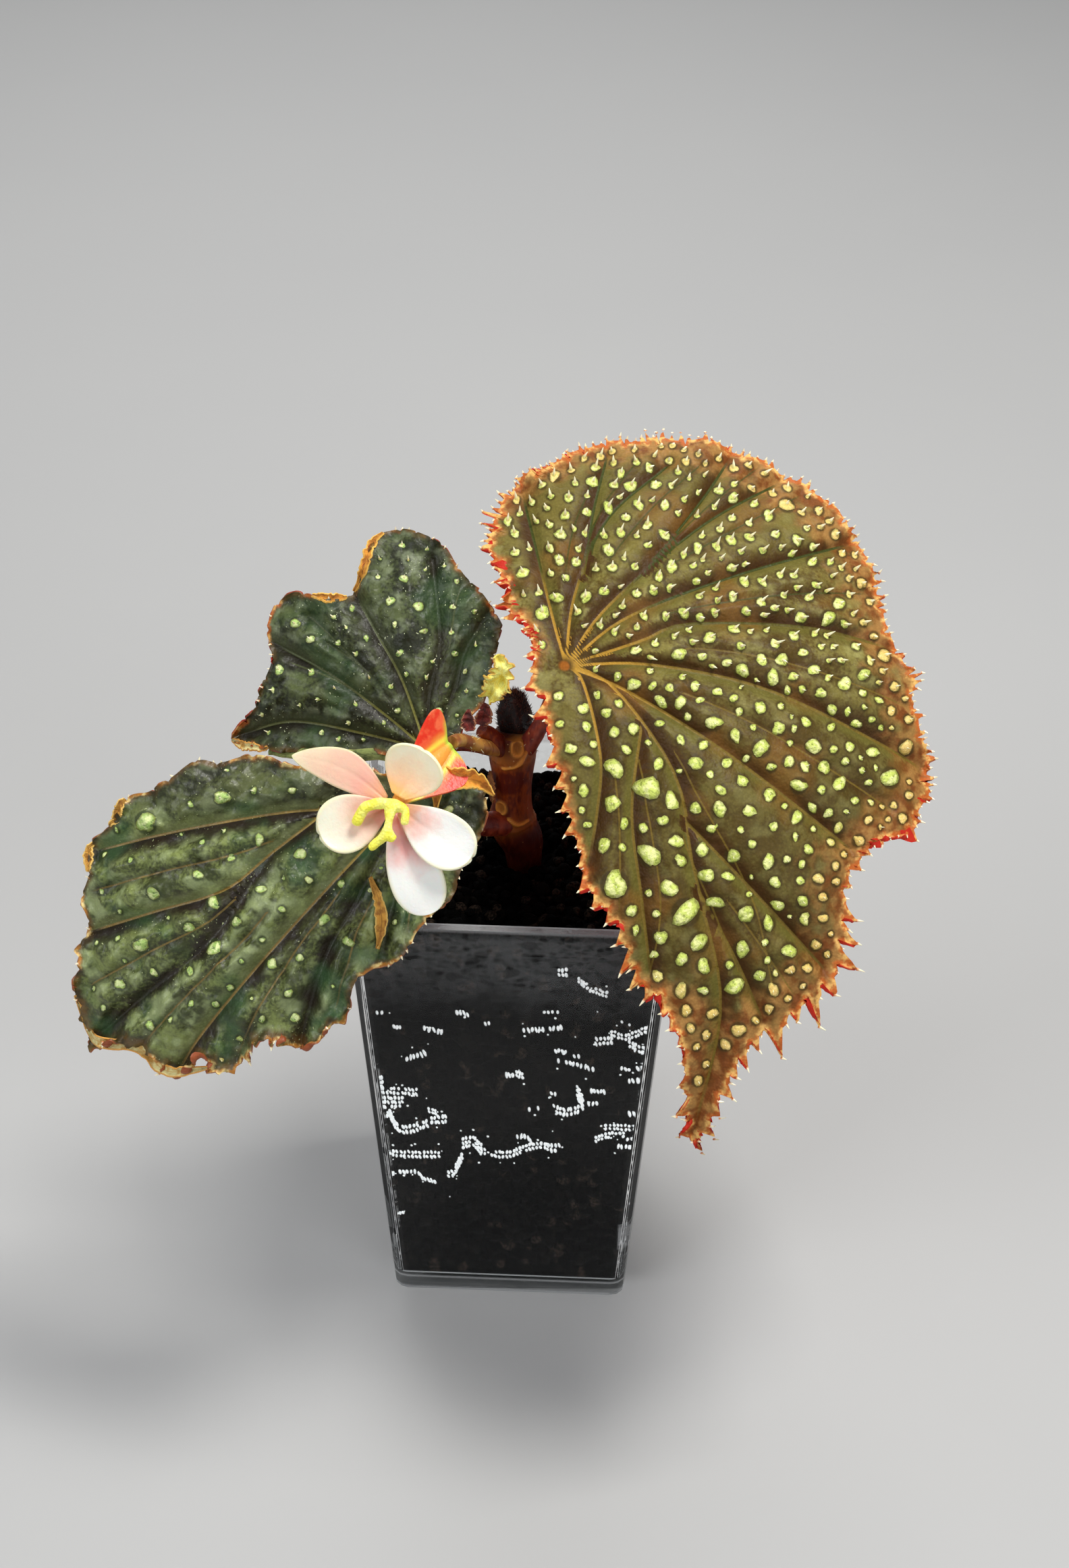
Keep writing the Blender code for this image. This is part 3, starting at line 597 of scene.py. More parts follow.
def leaf_finish(name, look):
    """A leathery blade: mottled panels with painted sheen, painted shade in the valleys, towards the bottom
    and on one side of bold veins, painted light on their other side, painted light or shade at the top, thin
    veins, and a coloured margin and underside.

    The look names its colours, how far each reaches in mm, and the sizes of its patterns.
    """
    f = Finish(name)
    vein, across, edge = f.read("vein"), f.read("across"), f.read("edge")
    foot, under, spot = f.read("foot"), f.read("under"), f.read("spot")
    fine, fine_across, north = f.read("fine"), f.read("fine_across"), f.read("north")
    patch = f.noise(7, 2)
    fleck = f.noise(0.7, 3)
    grain = f.cells(0.5)
    panel = f.mix(look["dark"], look["light"], f.ease(patch + (fleck - 0.5) * 0.5, 0.38, 0.66))
    # Painted sheen: pale patches stand in for the satin highlights on the blade
    gleam = f.ease(f.noise(look["gleam"], 3), *look["gleam_reach"]) * f.ease(vein, 0.8, 2.6)
    panel = f.mix(panel, look["sheen"], gleam * look["gleam_share"])
    # Painted light and shade at the top of each blade: lighter on the right blade, darker on the lower left
    # one
    panel = f.mix(panel, look["top_light_shade"], f.ease(north + (patch - 0.5) * 10, *look["top_light_shade_reach"]) * 0.8)
    # Painted shade towards the bottom of each blade
    panel = f.mix(panel, look["bottom_shade"], f.ease(north + (patch - 0.5) * 20, 6, -14) * 0.6)
    # Painted shade in the valleys along the veins and, fainter, along the fine veins
    wander = (fleck - 0.5) * 1.4 + (f.noise(5, 3) - 0.5) * look["wander"]
    valley = look["valley_width"]
    panel = f.mix(panel, look["valley"], f.ease(vein + wander, valley, 0.2) * 0.9)
    panel = f.mix(panel, look["valley"], f.ease(fine + (fleck - 0.5) * 1.4, 0.7 * valley, 0.1) * 0.6)
    # Half way between two bold veins across changes its sign, and is left out where it disagrees with bold
    bold = f.read("bold")
    one_side = (bold * bold - across * across < 0.5) * f.ease(foot, 5, 12)
    # Painted shade on one side of each bold vein, and painted light on its other side
    shade_band = f.ease(across + (f.noise(3, 2) - 0.5) * 3, 4.0, 0.8) * f.ease(across, 0.0, 0.4) * one_side
    panel = f.mix(panel, look["shade_band"], shade_band * 0.85)
    below = f.ease(across, -2.4, -0.8) * f.ease(across, 0.0, -0.3) * one_side
    panel = f.mix(panel, look["below"], below * 0.5)
    panel = f.mix(panel, look["tint"], f.ease(f.noise(13, 2), 0.5, 0.68) * 0.6)
    ragged = f.read("blush") + (f.noise(4, 3) - 0.5) * 2.4
    border = f.mix(look["margin_dark"], look["margin"], f.ease(f.noise(3, 3), 0.38, 0.60))
    panel = f.mix(panel, border, f.ease(ragged, 1.35, 0.15) * 0.9)
    panel = f.mix(panel, look["foot"], f.ease(foot + (patch - 0.5) * 4, look["foot_reach"], 0.8) * 0.85)
    panel = f.mix(panel, look["halo"], f.ease(spot, 0.55, 0.05) * 0.8)
    panel = f.mix(panel, look["speck"], (f.noise(0.45, 1) > 0.73) * (f.noise(9, 1) > 0.5) * look["specks"])
    width = look["vein_width"]
    line = f.ease(across * across, 1.6 * width**2, 0.3 * width**2) * (vein < 0.6)
    line = line * f.ease(edge, 1.0, 4.0) * f.ease(foot, 0.6, 2.2)
    far = f.mix(look["vein_far"], look["vein_north"], f.ease(north, 0, 12))
    vein_colour = f.mix(look["vein_near"], far, f.ease(foot + (patch - 0.5) * 12, 5, 24))
    faint = f.ease(fine_across * fine_across, 0.04, 0.01) * (fine < 0.8) * f.ease(edge, 1.0, 4.0)
    panel = f.mix(panel, far, faint * f.ease(foot, 14, 22) * 0.7)
    panel = f.mix(panel, vein_colour, line)
    rim = f.mix(look["rim"], look["rim_pale"], f.ease(f.noise(1.6, 2), 0.45, 0.62))
    cover = f.ease(f.noise(7, 2), look["rim_bare"], look["rim_bare"] + 0.12)
    panel = f.mix(panel, rim, f.ease(edge + (fleck - 0.5) * 0.8, look["rim_width"], 0.2) * cover)
    panel = f.mix(panel, (0.0, 0.0, 0.0), f.ease(grain, 0.25, 0.62) * 0.12)
    lower = f.mix(look["under"], look["under_vein"], f.ease(vein, 1.2, 0.2))
    colour = f.mix(panel, lower, under)
    lumps = f.bump(f.noise(look["lump"], 2), 0.16 * look["lump"])
    relief = f.bump(1 - grain, 0.045, lumps)
    rough = look["rough"] + fleck * 0.28
    return f.shade(Base_Color=colour, Roughness=rough, Normal=relief, Specular_IOR_Level=look["gloss"])


# Looks of the right, the upper left and the lower left blade, in that order
LOOKS = {
    "dark": ((0.084, 0.050, 0.007), (0.015, 0.018, 0.006), (0.018, 0.018, 0.008)),
    "light": ((0.215, 0.180, 0.042), (0.090, 0.112, 0.038), (0.42, 0.50, 0.150)),
    # Colour of the painted sheen
    "sheen": ((0.36, 0.33, 0.110), (0.24, 0.28, 0.16), (0.68, 0.80, 0.38)),
    # Painted shade in the valleys along the veins, and its width in mm
    "valley": ((0.056, 0.023, 0.003), (0.018, 0.014, 0.005), (0.016, 0.008, 0.005)),
    "valley_width": (2.4, 2.0, 2.4),
    "wander": (3.0, 5.0, 6.0),
    "tint": ((0.21, 0.095, 0.016), (0.034, 0.075, 0.026), (0.040, 0.115, 0.040)),
    # Painted shade towards the bottom of each blade
    "bottom_shade": ((0.080, 0.056, 0.011), (0.05, 0.06, 0.02), (0.07, 0.09, 0.024)),
    # Painted light or shade at the top of each blade, and the heights along it where it starts and where it
    # is full
    "top_light_shade": ((0.165, 0.130, 0.026), (0.05, 0.06, 0.02), (0.018, 0.018, 0.010)),
    "top_light_shade_reach": ((8, 34), (30, 60), (-10, -2)),
    "margin": ((0.40, 0.20, 0.055), (0.11, 0.065, 0.015), (0.13, 0.065, 0.014)),
    "margin_dark": ((0.20, 0.056, 0.010), (0.04, 0.03, 0.008), (0.04, 0.024, 0.006)),
    "foot": ((0.36, 0.110, 0.010), (0.11, 0.10, 0.018), (0.12, 0.10, 0.016)),
    "foot_reach": (1.5, 5.0, 5.0),
    "halo": ((0.050, 0.032, 0.006), (0.02, 0.03, 0.010), (0.03, 0.045, 0.012)),
    "speck": ((0.3, 0.3, 0.18), (0.55, 0.60, 0.36), (0.50, 0.55, 0.28)),
    "specks": (0.0, 1.0, 0.8),
    "vein_near": ((0.46, 0.25, 0.03), (0.24, 0.23, 0.05), (0.36, 0.27, 0.06)),
    "vein_far": ((0.19, 0.125, 0.018), (0.11, 0.12, 0.035), (0.25, 0.165, 0.040)),
    "vein_north": ((0.045, 0.055, 0.006), (0.075, 0.09, 0.03), (0.29, 0.20, 0.05)),
    "vein_width": (0.25, 0.22, 0.22),
    "rim": ((0.52, 0.125, 0.022), (0.42, 0.11, 0.015), (0.46, 0.18, 0.025)),
    "rim_pale": ((0.86, 0.50, 0.15), (0.72, 0.40, 0.11), (0.87, 0.66, 0.26)),
    "rim_width": (1.2, 0.8, 0.8),
    "rim_bare": (0.0, 0.48, 0.42),
    "under": ((0.50, 0.022, 0.010), (0.36, 0.025, 0.012), (0.30, 0.07, 0.020)),
    "under_vein": ((0.60, 0.13, 0.03), (0.45, 0.10, 0.03), (0.45, 0.12, 0.03)),
    "rough": (0.38, 0.33, 0.30),
    "gloss": (0.17, 0.32, 0.42),
    "lump": (1.8, 2.8, 3.0),
    # Size, reach and share of the painted sheen's patches
    "gleam": (4.0, 3.4, 5.0),
    "gleam_reach": ((0.50, 0.70), (0.48, 0.66), (0.48, 0.60)),
    "gleam_share": (0.65, 0.6, 0.8),
    # Colours of the painted shade on one side of the bold veins and the painted light on their other side
    "shade_band": ((0.056, 0.022, 0.003), (0.014, 0.012, 0.005), (0.018, 0.010, 0.006)),
    "below": ((0.200, 0.190, 0.036), (0.085, 0.105, 0.045), (0.300, 0.345, 0.125)),
}


def spot_finish(name, deep, middle, high):
    """Pale crinkled spots: darker in their dents and at the rim, with cream patches that are partly their own
    pale tone and partly a painted highlight towards the middle, and orange near the leaf's margin.
    """
    f = Finish(name)
    from_middle = f.read("from_middle")
    crinkle = f.noise(0.7, 4)
    colour = f.mix(deep, middle, f.ease(crinkle, 0.34, 0.50))
    # Cream patches: partly the spots' own pale tone, partly a painted highlight, more often towards the
    # middle of each spot
    colour = f.mix(colour, high, f.ease(f.noise(1.3, 2) - from_middle * 0.15, 0.36, 0.54) * 0.85)
    colour = f.mix(colour, (0.88, 0.52, 0.16), f.ease(f.read("warm"), 0.0, 1.0) * 0.7)
    colour = f.mix(colour, (0.17, 0.16, 0.03), f.ease(from_middle + (crinkle - 0.5) * 0.9, 0.62, 1.0) * 0.8)
    return f.shade(Base_Color=colour, Roughness=0.45 + crinkle * 0.2, Normal=f.bump(crinkle, 0.4))


def hair_finish(name, root, tip, start, end):
    """Stiff hairs, paler from the start to the end of their length."""
    f = Finish(name)
    along = f.read("along")
    colour = f.mix(root, tip, f.ease(along + (f.noise(2, 1) - 0.5) * 0.4, start, end))
    return f.shade(Base_Color=colour, Roughness=0.4 - along * 0.1, Subsurface_Weight=0.2, Subsurface_Scale=MM)


def stalk_finish(name, dark, light, pale):
    """A fleshy stalk: colour drifts in blotches, with fine lengthwise grain and pale dots."""
    f = Finish(name)
    drift = f.noise(6.0, 3)
    grain = f.noise(0.7, 3, f.stretched((1, 1, 0.35)))
    colour = f.mix(dark, light, f.ease(drift + (grain - 0.5) * 0.5, 0.36, 0.66))
    colour = f.mix(colour, pale, (f.cells(1.7) < 0.13) * (f.noise(5, 1) > 0.5) * 0.6)
    return f.shade(Base_Color=colour, Roughness=0.32 + grain * 0.25, Normal=f.bump(grain, 0.12),
                   Subsurface_Weight=0.12, Subsurface_Scale=MM)


def stem_finish():
    """The jointed stem: dark red-brown nodes, lighter orange internodes, tan scars."""
    f = Finish("stem_skin")
    drift = f.noise(4.5, 3)
    grain = f.noise(0.6, 3, f.stretched((1, 1, 0.3)))
    blotch = f.ease(drift + (grain - 0.5) * 0.6, 0.38, 0.64)
    colour = f.mix((0.105, 0.008, 0.001), (0.29, 0.050, 0.003), blotch)
    colour = f.mix(colour, (0.05, 0.004, 0.002), f.read("dark") * 0.85)
    colour = f.mix(colour, (0.42, 0.14, 0.014), f.read("ochre") * 0.6)
    colour = f.mix(colour, (0.86, 0.37, 0.060), f.read("scar"))
    colour = f.mix(colour, (0.65, 0.42, 0.16), (f.cells(1.4) < 0.1) * (f.noise(3, 1) > 0.52) * 0.7)
    return f.shade(Base_Color=colour, Roughness=0.34 + grain * 0.3, Normal=f.bump(grain, 0.15),
                   Specular_IOR_Level=0.25, Subsurface_Weight=0.1, Subsurface_Scale=MM)


def tepal_finish(name, base, warm, tip, reach):
    """A waxy tepal: pink at its root and along its middle, white in the tip, cream at the edge."""
    f = Finish(name)
    along, aside = f.read("along"), f.read("aside")
    drift = f.noise(3.2, 3)
    streak = f.noise(0.5, 2)
    blush = f.ease(along + (drift - 0.5) * 0.5 + aside * aside * 0.2, reach, 0.10)
    colour = f.mix(tip, base, blush * 0.95)
    colour = f.mix(colour, warm, f.ease(along + (drift - 0.5) * 0.3, 0.30, 0.02) * 0.75)
    colour = f.mix(colour, (0.82, 0.75, 0.40), f.ease(aside * aside + along * 0.3, 0.80, 1.20) * 0.55)
    colour = f.mix(colour, (0.78, 0.46, 0.38), (streak - 0.4) * blush * 0.6)
    return f.shade(Base_Color=colour, Roughness=0.36 + streak * 0.15, Normal=f.bump(streak, 0.05),
                   Subsurface_Weight=0.2, Subsurface_Scale=1.5 * MM)


def style_finish():
    """Yellow, beaded all over, darker between the beads."""
    f = Finish("styles_skin")
    bead = f.cells(0.45)
    colour = f.mix((0.90, 0.86, 0.07), (0.96, 0.95, 0.24), f.ease(f.noise(2.5, 2), 0.35, 0.65))
    colour = f.mix(colour, (0.66, 0.58, 0.03), f.ease(bead, 0.35, 0.7) * 0.35)
    return f.shade(Base_Color=colour, Roughness=0.35 + bead * 0.2, Normal=f.bump(1 - bead, 0.12),
                   Subsurface_Weight=0.15, Subsurface_Scale=MM)


def ovary_finish():
    """Orange body with yellow ribs and glowing red wings, green where it meets the stalk."""
    f = Finish("ovary_skin")
    wing, along = f.read("wing"), f.read("along")
    drift = f.noise(2.5, 3)
    colour = f.mix((0.87, 0.36, 0.05), (0.74, 0.03, 0.008), f.ease(wing + (drift - 0.5) * 0.3, 0.04, 0.4))
    colour = f.mix(colour, (0.88, 0.17, 0.06), f.ease(drift, 0.42, 0.62) * f.ease(wing, 0.1, 0.5) * 0.8)
    colour = f.mix(colour, (0.88, 0.70, 0.07), f.ease(wing, 0.02, 0.10) * f.ease(wing, 0.22, 0.10))
    colour = f.mix(colour, (0.45, 0.62, 0.05), f.ease(along + (drift - 0.5) * 0.1, 0.90, 1.0))
    return f.shade(Base_Color=colour, Roughness=0.34 + drift * 0.15, Normal=f.bump(f.noise(0.6, 2), 0.1),
                   Subsurface_Weight=0.15, Subsurface_Scale=MM)


def dry_finish(name, dark, light, edge_colour):
    """A papery dried scrap with fine veins along it and a darker or paler edge."""
    f = Finish(name)
    along, aside = f.read("along"), f.read("aside")
    drift = f.noise(1.6, 3)
    place = f.node("ShaderNodeCombineXYZ", {}, {"X": aside, "Y": along * 0.4})
    lines = f.node("ShaderNodeTexWave", {"bands_direction": "X"},
                   {"Vector": place, "Scale": 2.2, "Distortion": 3.0})
    colour = f.mix(dark, light, f.ease(drift + (lines - 0.5) * 0.10, 0.36, 0.56))
    colour = f.mix(colour, edge_colour, f.ease(aside * aside + (drift - 0.5) * 0.5, 0.6, 1.0) * 0.9)
    colour = f.mix(colour, dark, f.ease(aside, 0.16, 0.04) * 0.6)
    relief = f.bump(drift, 0.5, f.bump(lines, 0.05))
    return f.shade(Base_Color=colour, Roughness=0.6 + drift * 0.2, Normal=relief)


def soil_finish():
    """Dark granules: each has its own tone, black in between, with a few brown and grey ones."""
    f = Finish("dark_granules")
    tone, valley = f.read("tone"), f.read("valley")
    grit = f.noise(0.5, 4)
    paler = f.ease(tone + (grit - 0.5) * 0.6, 0.3, 0.95)
    colour = f.mix((0.0008, 0.0007, 0.0006), (0.005, 0.0042, 0.0034), paler)
    colour = f.mix(colour, (0.030, 0.021, 0.015), (tone > 0.86) * f.ease(grit, 0.4, 0.6))
    colour = f.mix(colour, (0.0005, 0.0005, 0.0004), f.ease(valley, 0.55, 0.05))
    return f.shade(Base_Color=colour, Roughness=0.75 + grit * 0.2, Normal=f.bump(grit, 0.25),
                   Specular_IOR_Level=0.03)


def highlight_drop_finish():
    """Drops of condensation on the inside of the wall: glassy, painted near white and glowing a little as a
    painted highlight and glow.
    """
    f = Finish("condensation")
    blur = f.noise(0.6, 1)
    colour = f.mix((0.84, 0.86, 0.86), (0.98, 0.98, 0.97), f.ease(blur, 0.4, 0.6))
    # Near white colour and a weak emission: painted highlight and glow
    return f.shade(Base_Color=colour, Roughness=0.10 + blur * 0.1, Coat_Weight=0.6, Coat_Roughness=0.05,
                   Emission_Color=colour, Emission_Strength=0.25)


def plastic_finish():
    """Clear moulded plastic with a thin haze of condensation under the rim, broken by clear round drops, and
    grey frost on the rim and at the base as painted highlights.
    """
    f = Finish("clear_plastic_wall")
    height = f.axis("Z")

    def over(start, end):
        """0 to 1 between two heights in mm."""
        return f.ease(height, start * MM, end * MM)

    flat = f.stretched((1, 1, 1.5))
    clear = f.ease(f.cells(2.1, at=flat), 0.36, 0.30) + f.ease(f.cells(6.5, at=flat), 0.27, 0.23)
    haze = f.ease(height + (f.noise(9, 2) - 0.5) * (12 * MM), 80 * MM, 98.5 * MM)
    haze = haze * (1 - f.ease(clear, 0.0, 1.0)) * over(103.5, 102.5) * 0.05
    # Painted highlights: bands at the bottom edge of the base and at the top of its floor
    base = over(1.2, 0.4) + over(3.4, 4.0) * over(4.6, 4.1)
    corner = (f.axis("X") > BLOCK_CORNER * MM) * (f.axis("Y") < -BLOCK_CORNER * MM)
    block = corner * (height > BLOCK_LOW * MM) * (height < BLOCK_HIGH * MM)
    # The diffuse grey adds to the real haze the painted highlights of the rim's top and the base, and the
    # grey patch
    haze = haze + over(104.0, 104.9) * 0.30 + base * 0.35 + block * 0.20
    scratch = f.noise(4, 5, f.stretched((1, 1, 0.3)))
    wall = f.shade(Base_Color=(0.97, 0.985, 0.99), Roughness=0.015 + f.ease(scratch, 0.6, 0.8) * 0.04,
                   Transmission_Weight=1.0, IOR=1.28, Specular_Tint=(0.25, 0.25, 0.25),
                   Normal=f.bump(f.noise(14, 2), 0.05))
    shader = f.tree.nodes["Principled BSDF"]
    fog_and_glint = f.node("ShaderNodeBsdfDiffuse", {}, {"Color": (0.62, 0.63, 0.64)})
    through = f.node("ShaderNodeBsdfTransparent", {}, {"Color": (0.93, 0.94, 0.94)})
    lamp = f.node("ShaderNodeLightPath", {}, {}, "Is Shadow Ray")
    solid = f.node("ShaderNodeMixShader", {}, {0: haze, 1: Value(f.tree, shader.outputs[0]), 2: fog_and_glint})
    whole = f.node("ShaderNodeMixShader", {}, {0: lamp, 1: solid, 2: through})
    plug(f.tree, f.tree.nodes["Material Output"].inputs["Surface"], whole)
    return wall


# Leaves

class Leaf:
    """A leaf blade on a shallow dome. x and y lie in its plane and z stands out of it, in mm from its stalk.

    apex and radius give the dome. first and second are the two sides of the outline, from one end of the
    blade to the other, and spine runs between the same ends. columns and rings count the points of the grid
    along each side and out to it. veins are lines, and those in bold have painted shade on one side and
    painted light on the other.
    lobe is the least and the most columns of one lobe of the edge, tooth the scale of all that stands out
    there, ragged its drift, inset how far it starts inside and crown how tall a blunt lobe's points are.
    spiky and frilly say, for a point of the edge, how pointed and how rolled it is, from 0 to 1, and blush
    how far the margin's colour reaches in. quilt, pucker and blister are the heights of pillows, ripples
    and spots, hair the length of hairs and bristle the share of points with a bristle. lifts are curls of
    the edge: a place, a height and a width.
    """

    def __init__(self, foot, azimuth, tilt, veins, **traits):
        self.matrix = facing(foot, azimuth, tilt)
        self.veins = [spline(vein, VEIN_STEPS) for vein in veins]
        self.fine_veins = [between(a, b) for a, b in zip(self.veins, self.veins[1:])]
        self.spots = np.zeros((0, 3))
        self.lifts = ()
        for name, value in traits.items():
            setattr(self, name, value)

    def height(self, xy):
        """Height of the upper face: the dome, pillows between sunken veins, ripples, spots and curls."""
        x, y = xy[:, 0], xy[:, 1]
        dome = (self.apex[0] ** 2 - (x - self.apex[0]) ** 2) / (2 * self.radius[0])
        dome += (self.apex[1] ** 2 - (y - self.apex[1]) ** 2) / (2 * self.radius[1])
        from_main = to_lines(xy, self.veins)[0]
        from_fine = to_lines(xy, self.fine_veins)[0]
        from_vein = np.minimum(from_main, FINE_SHALLOW + from_fine)
        pillow = self.quilt * (1 - bell(from_vein, PILLOW_REACH)) - VEIN_DEPTH * bell(from_vein, VEIN_REACH)
        draw = np.random.default_rng(SEED)
        ripples = self.pucker * ripple(xy, 7.0, draw) + 0.4 * self.pucker * ripple(xy, 2.6, draw)
        pillow += ripples * smooth(from_vein, 0.3, 2.5)
        for cx, cy, r in self.spots:
            pillow += self.blister * r * hill(xy, (cx, cy), 0.7 + 1.2 * r)
        pillow *= 1 - hill(xy, (0, 0), CALM_REACH)
        pillow -= GROOVE_DEPTH * bell(from_main, GROOVE_REACH) * smooth(np.hypot(x, y), 1.0, 6.0)
        for place, lift, width in self.lifts:
            dome = dome + lift * hill(xy, place, width)
        return dome + pillow

    def surface(self, xy, lift=0.0):
        """World points over the plane points, and the directions that stand out of the face there."""
        z = self.height(xy)
        slopes = [(self.height(xy + step) - z) / SLOPE_STEP for step in ((SLOPE_STEP, 0), (0, SLOPE_STEP))]
        normal = units(np.column_stack([-slopes[0], -slopes[1], np.ones(len(xy))]))
        return carried(self.matrix, np.column_stack([xy, z]) + normal * lift), normal @ self.matrix[:3, :3].T

    def bent(self, xy):
        """How far the margin's waves lift the blade at plane points, from its finished grid."""
        found = [self.margin[0].find_n((px, py, 0), 3) for px, py in xy]
        total = np.zeros(len(xy))
        for index, near in enumerate(found):
            weights = np.array([1 / (distance + 0.05) for _, _, distance in near])
            total[index] = weights @ self.margin[1][[item for _, item, _ in near]] / weights.sum()
        return total

    def outline(self):
        """Points at even lengths along each side, once round the blade."""
        return np.vstack([spline(self.first, self.columns), spline(self.second, self.columns)[-2::-1]])

    def throw_spots(self, draw, count, spacing, size, spread, large=((0, 0), 0, 1)):
        """Random places and radii for pale spots, kept clear of the veins, the edge and each other.

        large is a place, how much larger the spots are there, and how far that reaches.
        """
        edge = self.outline()[::3]
        tries = draw.uniform(edge.min(0), edge.max(0), size=(SPOT_TRIES, 2))
        tries = tries[inside(tries, edge)]
        from_edge = to_lines(tries, [edge])[0]
        from_vein = to_lines(tries, self.veins)[0]
        place, more, reach = large
        grown = 1 + more * hill(tries, place, reach)
        radius = np.clip(size * grown * draw.lognormal(0, spread, len(tries)), 0.45 * size, SPOT_LARGEST)
        clear = (from_edge > SPOT_TO_EDGE + radius) & (from_vein > SPOT_TO_VEIN + 0.75 * radius)
        clear &= np.hypot(tries[:, 0], tries[:, 1]) > SPOT_TO_FOOT
        kept = np.zeros((0, 3))
        for x, y, r in np.column_stack([tries, radius])[clear]:
            if len(kept) == count:
                break
            apart = r + spacing * (1 + 0.3 * more * float(smooth(y, 5.0, -30.0)))
            if np.all(np.hypot(*(kept[:, :2] - (x, y)).T) - kept[:, 2] > apart):
                kept = np.vstack([kept, (x, y, r)])
        self.spots = kept

    def lobes(self, edge, draw):
        """How far the edge stands out, leans and rolls at each column, and where its lobes have points."""
        count = len(edge)
        push, lean, roll = np.zeros((3, count))
        tips = []
        long_teeth = self.tooth > 1
        at = 0
        while at < count - 1:
            width = min(int(draw.integers(self.lobe[0], self.lobe[1] + 1)), count - 1 - at)
            size = draw.uniform(*LOBE_SIZE)
            spiky, frilly = self.spiky(*edge[at]), self.frilly(*edge[at])
            peaks = list(zip(BLUNT_PLACES, self.crown * draw.uniform(BLUNT_LEAST, BLUNT_MOST)))
            if spiky > 0.5:
                peaks = [(place, draw.uniform(least, most)) for place, least, most in SHARP_POINTS]
            size *= 1 + 0.6 * frilly + 0.5 * smooth(edge[at][1], -34.0, -52.0) * long_teeth
            size *= 1 - 0.4 * spiky * smooth(edge[at][0], 26.0, 16.0) * long_teeth
            bend = (1 - 0.5 * spiky) * draw.normal(0.4, 0.45)
            bend += frilly * draw.choice(ROLLS, p=ROLL_ODDS)
            reach = 0.17 + 0.23 * spiky
            for column in range(at, at + width):
                share = (column - at) / width
                plateau = PLATEAU * min(1.0, share / PLATEAU_RISE, (1 - share) / PLATEAU_RISE)
                corner = max(tip * max(0.0, 1 - abs(share - place) / reach) for place, tip in peaks)
                push[column] = size * max(plateau, corner)
                lean[column] = size * spiky * corner
                roll[column] = bend * math.sin(math.pi * share) ** 0.5
            tips += [(at + round(place * width), spiky, tip * size > 0.9) for place, tip in peaks]
            at += width
        return push, lean, roll, tips

    def grid(self, draw):
        """Points of the upper face, ring by ring from the spine out to the toothed edge.

        Gives them with the margin rolled, their places in the plane before that, and the edge's outward
        directions and tips.
        """
        edge = self.outline()
        share = np.arange(len(edge)) / (len(edge) - 1)
        middle = spline(self.spine, SPINE_STEPS)
        at = SPINE_STEPS * np.clip(1.3 * (1 - np.abs(2 * share - 1)) - 0.15, 0, 1)
        start = np.stack([np.interp(at, np.arange(len(middle)), middle[:, axis]) for axis in (0, 1)], axis=1)
        rise = np.gradient(edge, axis=0)
        rise[0] = rise[-1] = edge[1] - edge[-2]
        rise = units(rise)
        outward = np.stack([-rise[:, 1], rise[:, 0]], axis=1)
        depth = np.linalg.norm(edge - start, axis=1)
        room = np.clip(depth / NARROW_ROOM, 0.45, 1)
        push, lean, roll, tips = self.lobes(edge, draw)
        drift = self.ragged * ripple(np.column_stack([edge, 0 * share]), 9.0, draw)
        push = (push - self.inset + drift) * self.tooth * room
        lean = 0.5 * lean * self.tooth * room * np.where(share < 0.5, 1, -1)
        bow = (ROLL_REACH + np.maximum(push, 0)) / (np.abs(roll) + 0.01)
        rolled, plain, waves = [], [], []
        for ring in range(self.rings + 1):
            out = (ring / self.rings) ** 0.8
            near = smooth(out, 0.88, 1.0)
            xy = start + out * (edge - start)
            xy = xy + near * (push[:, None] * outward + lean[:, None] * rise)
            calm = np.exp(-np.linalg.norm(xy, axis=1) / MARGIN_CALM)
            wave = MARGIN_WAVE * out**4 * np.sin(2 * math.pi * MARGIN_WAVES * share) * (1 - calm)
            beyond = np.maximum(0, ROLL_REACH + near * push - (1 - out) * depth)
            shift = bow * np.sin(beyond / bow) - beyond
            lift = bow * (1 - np.cos(beyond / bow)) * np.sign(roll)
            plain.append(xy)
            rolled.append(np.column_stack([xy + shift[:, None] * outward, self.height(xy) + wave + lift]))
            waves.append(wave)
        self.margin = indexed([(x, y, 0) for x, y in np.vstack(plain)]), np.array(waves).ravel()
        return np.array(rolled), np.array(plain), outward, tips

